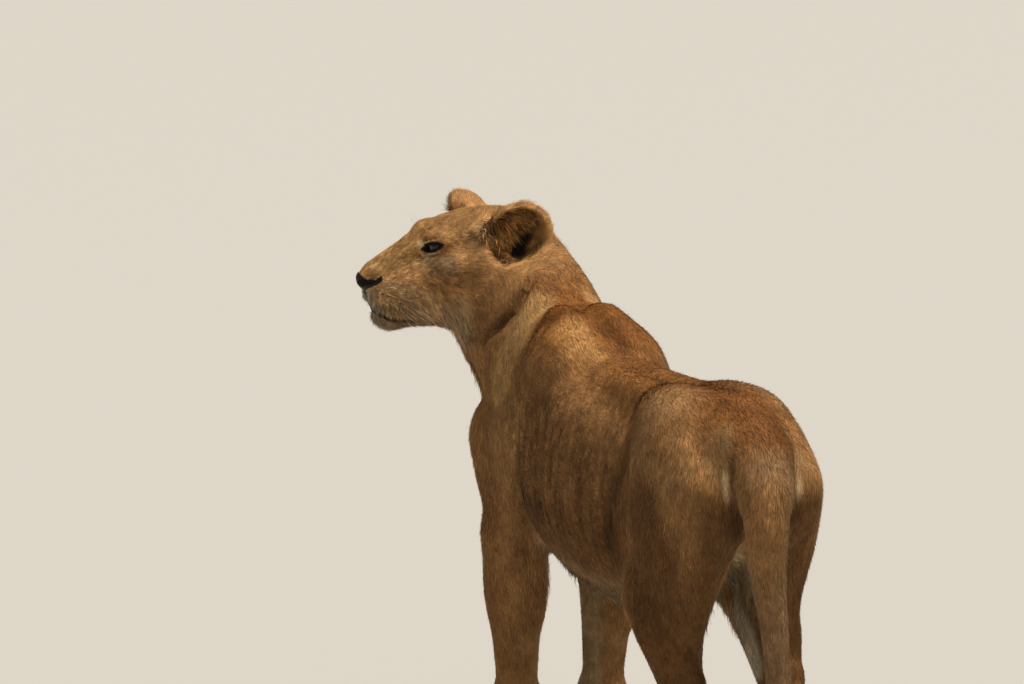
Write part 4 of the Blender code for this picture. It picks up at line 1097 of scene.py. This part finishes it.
def stuff(name, roughness, specular, bump=0.0, scale=0.0, coat=0.0):
    """A material that takes its colour from each piece's own colours."""
    material = bpy.data.materials.new(name)
    material.use_nodes = True
    nodes, links = material.node_tree.nodes, material.node_tree.links
    shader = nodes["Principled BSDF"]
    dial(shader, Roughness=roughness, Specular_IOR_Level=specular, Coat_Weight=coat, Coat_Roughness=0.05)
    colour = nodes.new("ShaderNodeAttribute")
    colour.attribute_name = "tint"
    links.new(colour.outputs["Color"], shader.inputs["Base Color"])
    if bump:
        where = nodes.new("ShaderNodeTexCoord")
        noise = nodes.new("ShaderNodeTexNoise")
        dial(noise, Scale=scale, Detail=3.0)
        raised = nodes.new("ShaderNodeBump")
        dial(raised, Strength=bump, Distance=0.001)
        links.new(where.outputs["Object"], noise.inputs["Vector"])
        links.new(noise.outputs["Fac"], raised.inputs["Height"])
        links.new(raised.outputs["Normal"], shader.inputs["Normal"])
    return material


# ---- fur


def spread(points, faces, per_area, rng):
    """Places evenly spread over the skin: three points of a face and how much of each."""
    corners = np.concatenate([faces[:, [0, 1, 2]], faces[:, [0, 2, 3]]])
    a, b, c = (points[corners[:, n]] for n in range(3))
    area = lengths(np.cross(b - a, c - a))[:, 0] / 2
    cell = ((a + b + c) / 3 / CELL + 512).astype(np.int64)
    key = np.zeros(len(corners), np.int64)
    for bit in range(10):
        for n in range(3):
            key |= (cell[:, n] >> bit & 1) << (3 * bit + n)
    order = np.argsort(key, kind="stable")  # neighbours stay together
    total = np.cumsum((area * per_area[corners].mean(1))[order])
    count = int(total[-1])
    marks = np.arange(count) + rng.random(count)
    chosen = order[np.minimum(np.searchsorted(total, marks), len(order) - 1)]
    u, v = rng.random((2, count))
    flip = u + v > 1
    u, v = np.where(flip, 1 - u, u), np.where(flip, 1 - v, v)
    return corners[chosen], np.stack([1 - u - v, u, v], 1)


def locks(roots, normals, ways, sizes, colours, uv, rings, gravity):
    """Three-sided locks of hair that lean along ways and taper to a point. sizes: length, lift, width."""
    aside = np.cross(ways, normals)
    length, lift, width = sizes.T
    points, shade, looks, flat = [], [], [], []
    for t in np.arange(rings) / rings:
        rise = length * np.sin(lift) * t * (2 - t) - (ROOT_DEPTH if t == 0 else 0)
        middle = roots + ways * (length * np.cos(lift) * t)[:, None] + normals * rise[:, None]
        middle[:, 2] -= gravity * length * t * t
        thick = width * (1 - t) ** 0.7
        for sideways, up in ((-0.5, 0.0), (0.5, 0.0), (0.0, 0.42)):
            points.append(middle + aside * (sideways * thick)[:, None] + normals * (up * thick)[:, None])
            looks.append(normals + aside * (1.1 * sideways) + ways * 0.15)
            # painted shade and light: each lock is darker at its root deep in the coat and lighter towards
            # its tip, and its upper ridge is lighter
            shade.append(0.58 + 0.5 * t + (0.16 if up else 0))
            flat.append((0.9 * (1 - t) * 2 * sideways, -1 + 1.9 * t + (0.35 if up else 0)))
    tip = roots + ways * (length * np.cos(lift))[:, None] + normals * (length * np.sin(lift))[:, None]
    tip[:, 2] -= gravity * length
    points.append(tip)
    looks.append(normals + ways * 0.3)
    # the tip, painted lightest
    shade.append(1.3)
    flat.append((0, 1.25))
    sides = ((0, 1), (1, 2), (2, 0))
    faces = [(0, 1, 2)]
    for k in range(0, 3 * rings - 3, 3):
        for a, b in sides:
            faces += [(k + b, k + a, k + a + 3), (k + b, k + a + 3, k + b + 3)]
    faces += [(3 * rings - 3 + b, 3 * rings - 3 + a, 3 * rings) for a, b in sides]
    points = np.stack(points, 1)
    count, each, _ = points.shape
    looks = np.stack(looks, 1).reshape(-1, 3)
    looks /= lengths(looks)
    faces = (np.array(faces)[None] + each * np.arange(count)[:, None, None]).reshape(-1, 3)
    colour = colours[:, None] * np.array(shade)[None, :, None]
    patch = uv[:, None] + LOCK_PATCH * np.array(flat)[None]
    return points.reshape(-1, 3), faces, colour.reshape(-1, 3), patch.reshape(-1, 2), looks


def unwrapped(points, normals):
    """Lays the skin at some places flat: a chart for each of six sides, in rows in the unit square."""
    side = np.argmax(np.abs(normals), 1)
    side += 3 * (np.take_along_axis(normals, side[:, None], 1)[:, 0] < 0)
    flat = np.zeros((len(points), 2))
    charts = []
    for n in np.unique(side):
        mine = side == n
        flat[mine] = np.delete(points[mine], n % 3, 1)
        flat[mine] -= flat[mine].min(0)
        charts.append((mine, flat[mine].max(0) + UV_GAP))
    charts.sort(key=lambda chart: -chart[1][1])
    width = max(1.15 * sum(size.prod() for _, size in charts) ** 0.5, *(size[0] for _, size in charts))
    x = y = row = wide = 0.0
    for mine, size in charts:
        if x + size[0] > width + 1e-9:
            x, y, row = 0.0, y + row, 0.0
        flat[mine] += (x + UV_GAP / 2, y + UV_GAP / 2)
        x, row = x + size[0], max(row, size[1])
        wide = max(wide, x)
    return UV_EDGE + flat * (1 - 2 * UV_EDGE) / max(wide, y + row)


def part_names(places):
    """Which piece of the coat each place belongs to."""
    (x, y, z), (a, b, c) = places.points.T, places.at("head").T
    round_head = (b < -0.03) & (np.abs(a) < 0.12) & (c > -0.18) & (b > -0.4)
    round_head |= np.linalg.norm(places.at("head"), axis=1) < 0.14
    side = np.where(x > 0, "left", "right")
    name = np.char.add("trunk_", side)
    for part, mine in (
        ("shoulder_", (y < -0.14) & (z > 0.4)),
        ("foreleg_", (y < -0.1) & (z < 0.5)),
        ("thigh_", (y > 0.22) & (z > 0.45)),
        ("hindleg_", (y > 0.1) & (z < 0.5)),
        ("tail", (y > 0.6) & (np.abs(x - 0.015) < 0.065)),
        ("neck", (y < -0.38) & (z > 0.8)),
        ("head", round_head),
        *(("ears", share > 0.5) for _, _, share, _ in ear_places(places)),
    ):
        name = np.where(mine, np.char.add(part, side) if part[-1] == "_" else part, name)
    return name


def grow_coat(points, faces, normals, tint, material):
    rng = np.random.default_rng(SEED)
    places = Places(points, normals)
    coat = coat_at(places)
    wanted = coat[:, 3] / (coat[:, 0] * coat[:, 2])
    area = lengths(across(points, faces))[:, 0] / 2
    wanted *= LOCKS / FINE**2 / (area * wanted[faces].mean(1)).sum()
    corners, shares = spread(points, faces, wanted, rng)
    fields = points, normals, lie_at(places), coat, tint
    roots, up, ways, kind, colours = ((f[corners] * shares[..., None]).sum(1) for f in fields)
    up /= lengths(up)
    count = len(roots)
    loose = np.clip(kind[:, 1:2] - 0.3, 0, 0.4)  # hair that stands up is ragged
    ways = along_skin(ways + rng.normal(0, 1, (count, 3)) * (0.15 + 0.8 * loose), up)
    sizes = kind[:, :3] * np.exp(rng.normal(0, (0.22, 0.3, 0.18), (count, 3)))
    sizes[:, 1] = np.clip(sizes[:, 1], 0.04, 0.9)
    flecks = rng.normal(0, 1, (count, 1)) * (0.26 + 1.1 * loose + 0.17 * (kind[:, :1] < 0.009))
    colours = colours * np.exp(flecks + rng.normal(0, 0.05, (count, 3)))
    keep = kind[:, 3] > BARE
    name = part_names(Places(roots, up))
    for part in np.unique(name[keep]):
        mine = np.nonzero(keep & (name == part))[0]
        uv = unwrapped(roots[mine], up[mine])
        long = kind[mine, 0] > LONG_HAIR
        for kin, rings, some, droop in (("short", 1, ~long, 0.0), ("long", 2, long, 0.1)):
            most = PIECE // (6 * rings - 2)
            picked, flat = mine[some], uv[some]
            for k, start in enumerate(range(0, len(picked), most)):
                i, patch = picked[start : start + most], flat[start : start + most]
                made = locks(roots[i], up[i], ways[i], sizes[i], colours[i], patch, rings, droop)
                p, f, colour, patch, looks = made
                p[:, 2] = np.maximum(p[:, 2], SOLES + 0.0002)
                make(f"coat_{part}_{kin}{k}", p, f, colour, material, patch, looks)


# ---- eyes, nose and whiskers


def ball_mesh(around=96, rings=64):
    """A ball of radius 1 with its poles on y."""
    turn, tilt = np.meshgrid(
        np.arange(around) / around * 2 * np.pi, np.linspace(0, np.pi, rings + 1)[1:-1]
    )
    local = np.stack([np.sin(tilt) * np.cos(turn), -np.cos(tilt), np.sin(tilt) * np.sin(turn)], -1)
    local = np.vstack([local.reshape(-1, 3), [(0, -1, 0), (0, 1, 0)]])
    index = np.arange((rings - 1) * around).reshape(rings - 1, around)
    right = np.roll(index, -1, 1)
    quads = np.stack([index[:-1], index[1:], right[1:], right[:-1]], -1).reshape(-1, 4)
    front, back = np.full((2, around), [[len(local) - 2], [len(local) - 1]])
    caps = [np.stack([front, index[0], right[0]], 1), np.stack([back, right[-1], index[-1]], 1)]
    return local, np.concatenate([quads[:, [0, 1, 2]], quads[:, [0, 2, 3]], *caps])


def build_eye(s, material):
    eye = AXES[f"eye{s}"].inner((0, 0, 0), (0, 0, 1), (-s * 0.5, -0.87, 0.02))
    radius = EYE_RADIUS / 1000
    local, faces = ball_mesh()
    off = np.arccos(np.clip(-local[:, 1:2], -1, 1)) * radius  # distance from the pupil's middle over the ball
    turn = np.arctan2(local[:, 2:], local[:, :1])
    # painted shade: the iris is a dark brown, darker than a lioness's amber, as if shaded by the heavy upper
    # lid
    iris = vec(0.14, 0.06, 0.014) * (1 + 0.22 * np.sin(turn * 23) * np.sin(turn * 41 + 1))
    iris = iris * (1 - 0.35 * eased((off - 0.005) / 0.005))
    colour = np.where(off < 0.0042, BLACK * 0.4, iris)
    colour = np.where(off > 0.01, (0.012, 0.007, 0.005), colour)
    radius = radius * (1 + 0.055 * eased((0.0105 - off) / 0.006))  # the cornea stands out
    side = "left" if s > 0 else "right"
    made = make(f"eye_{side}", eye.origin + (local * radius) @ eye.axes.T, faces, colour, material)
    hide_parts(f"{side}_eye")


def build_nose(material):
    """The bare nose, with a slit nostril on each side."""
    middle = HEAD.place((0, -0.24, -0.052))
    axes = [np.arange(m - 0.055, m + 0.055, 0.0011 * FINE) for m in middle]
    flesh = Flesh(axes)
    build_head(flesh)
    flesh.value -= 0.0007
    for s in SIDES:
        _, bar = shapers(flesh, s, HEAD)
        bar((9, -263, -58), (20, -254, -53), 5, 5.5, 4, sign=-1)
        bar((20, -254, -53), (38, -238, -48), 5, 3, 4, sign=-1)
        bar((38, -238, -48), (46, -222, -40), 2.6, 1.2, 3, sign=-1)
    bar((0, -268, -72), (0, -266, -45), 3, 1.8, 4, sign=-1)
    grid = np.stack(np.meshgrid(*axes, indexing="ij"), -1)
    region = nose_region(*np.moveaxis((grid - HEAD.origin) @ HEAD.axes, -1, 0))
    flesh.value = -smooth_least(-flesh.value, -region, 0.003)
    points, faces = flesh.skin()
    for _ in range(2):
        points = relaxed(points, faces, 0.5)
    colour = vec(0.011, 0.008, 0.008) * (1 + 0.25 * lattice(points, 0.0022, 50)[:, None])
    made = make("nose_leather", points, faces, colour, material)
    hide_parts("nose")


def strand(start, way, length, radius, droop, sides=3, steps=8):
    """A hair as a thin closed cone that bends down."""
    aside = unit(np.cross(way, (0, 0, 1)))
    up = np.cross(aside, way)
    turn = np.arange(sides)[:, None] / sides * 2 * np.pi
    down = vec(0, 0, droop)
    rings = []
    for t in np.arange(steps) / steps:
        middle = start + way * length * t - down * length * t * t
        rings.append(middle + radius * (1 - t) ** 0.8 * (np.cos(turn) * aside + np.sin(turn) * up))
    rings.append([start + way * length - down * length])
    faces = [(0, 2, 1)]
    for k in range(0, steps * sides, sides):
        for a in range(k, k + sides):
            b = k + (a + 1) % sides
            last = k == (steps - 1) * sides
            faces += [(a, b, steps * sides)] if last else [(a, b, b + sides), (a, b + sides, a + sides)]
    return np.vstack(rings), np.array(faces)


def build_whiskers(points, normals, material):
    rng = np.random.default_rng(SEED + 1)
    places = Places(points, normals)
    found, faces, colours = [], [], []

    def grow(where, unlike, y, z, way, length, radius, droop, colour):
        """One hair at y and z in the axes of a part; unlike says how wrong each point is for it."""
        local = places.at(where)
        near = np.argmin((local[:, 1] - y) ** 2 + (local[:, 2] - z) ** 2 + unlike)
        way = AXES[where].axes @ unit(vec(*way) + rng.normal(0, 0.1, 3))
        p, f = strand(points[near] - normals[near] * 0.002, way, length, radius, droop)
        faces.append(f + sum(map(len, found)))
        found.append(p)
        colours.append(np.tile(colour, (len(p), 1)))

    for s in SIDES:
        far_side = s * places.at("head")[:, 0] < 0.012
        for row, y, z, long in WHISKER_SPOTS:
            if long:
                length = rng.uniform(0.04, 0.1)
                way = (s * 0.75, 0.55 + rng.uniform(-0.3, 0.5), 0.02 - 0.14 * row)
                grow("head", far_side, y, z, way, length, 0.00028, 0.2, (0.66, 0.56, 0.4))
        for y in (-0.14, -0.13, -0.12):  # above the eye
            way, length = (s * 0.3, -0.5, 0.8), rng.uniform(0.025, 0.04)
            grow("head", far_side, y, 0.06, way, length, 0.00025, -0.1, (0.5, 0.4, 0.26))
        ear = f"ear{s}"
        back = normals @ AXES[ear].axes[:, 1] > 0.1
        for k in range(16):  # pale hair hanging across the opening of the ear
            unlike = np.abs(places.at(ear)[:, 0] - s * (-0.34 + 0.018 * k)) * 3 + back
            way, length = (s * 0.75, -0.25, -0.45), rng.uniform(0.02, 0.04)
            grow(ear, unlike, 0.05, 0.5 - 0.016 * k, way, length, 0.0005, 0.3, (0.62, 0.47, 0.25))
    make("whiskers", np.vstack(found), np.concatenate(faces), np.vstack(colours), material)


# ---- the animal, her floor, light and camera

SHIFT = np.mean(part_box("left_eye"), 0) - HEAD.place(EYE_CENTRE)

hide = stuff("hide", 0.85, 0.1, 0.35, 420.0)
fur = stuff("fur", 0.7, 0.16)
wet = stuff("eye", 0.08, 0.3, coat=0.2)
leather = stuff("leather", 0.5, 0.16, 0.5, 900.0)
bristle = stuff("bristle", 0.4, 0.5)

points, faces, normals = finished_skin()
tint = coat_colour(Places(points, normals))
skin = make("skin", points, faces, tint, hide)
for node in frame["nodes"]:
    if not any(word in node for word in ("eye", "nose")):
        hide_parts(node)
grow_coat(points, faces, normals, tint, fur)
for s in SIDES:
    build_eye(s, wet)
build_nose(leather)
build_whiskers(points, normals, bristle)

mesh = bpy.data.meshes.new("floor")
mesh.from_pydata([(-90, -90, 0), (90, -90, 0), (90, 90, 0), (-90, 90, 0)], [], [(0, 1, 2, 3)])
floor = placed("floor", mesh)
paint = bpy.data.materials.new("floor")
paint.use_nodes = True
dial(paint.node_tree.nodes["Principled BSDF"], Base_Color=(0.42, 0.405, 0.375, 1), Roughness=0.9)
mesh.materials.append(paint)

world = bpy.data.worlds.new("world")
bpy.context.scene.world = world
world.use_nodes = True
dial(world.node_tree.nodes["Background"], Color=(1.0, 0.96, 0.9, 1), Strength=0.22)


def facing(direction):
    """The turn of a light or camera that stands in a direction and points back."""
    return Vector(direction).to_track_quat("Z", "Y").to_euler()


def sun(name, towards, strength, spread_degrees, colour):
    light = bpy.data.lights.new(name, "SUN")
    light.energy, light.angle, light.color = strength, radians(spread_degrees), colour
    placed(name, light).rotation_euler = facing(towards)


sun("key", (-0.18, 0.2, 0.92), 4.9, 16, (1.0, 0.95, 0.87))
sun("fill", (0.2, 0.9, 0.35), 0.22, 60, (1.0, 0.95, 0.88))

BACK = (0.3874, 0.9126, 0.1305)  # from what the camera looks at to the camera
LOOK_AT, FAR_OFF = vec(0.229, -0.097, 0.969), 15.0
camera = bpy.data.cameras.new("camera")
camera.lens, camera.sensor_width, camera.clip_end = 258.4, 36.0, 400.0
viewer = placed("camera", camera)
viewer.location = SHIFT + LOOK_AT + unit(BACK) * FAR_OFF
viewer.rotation_euler = facing(BACK)
bpy.context.scene.camera = viewer
bpy.context.scene.view_settings.view_transform = "Standard"
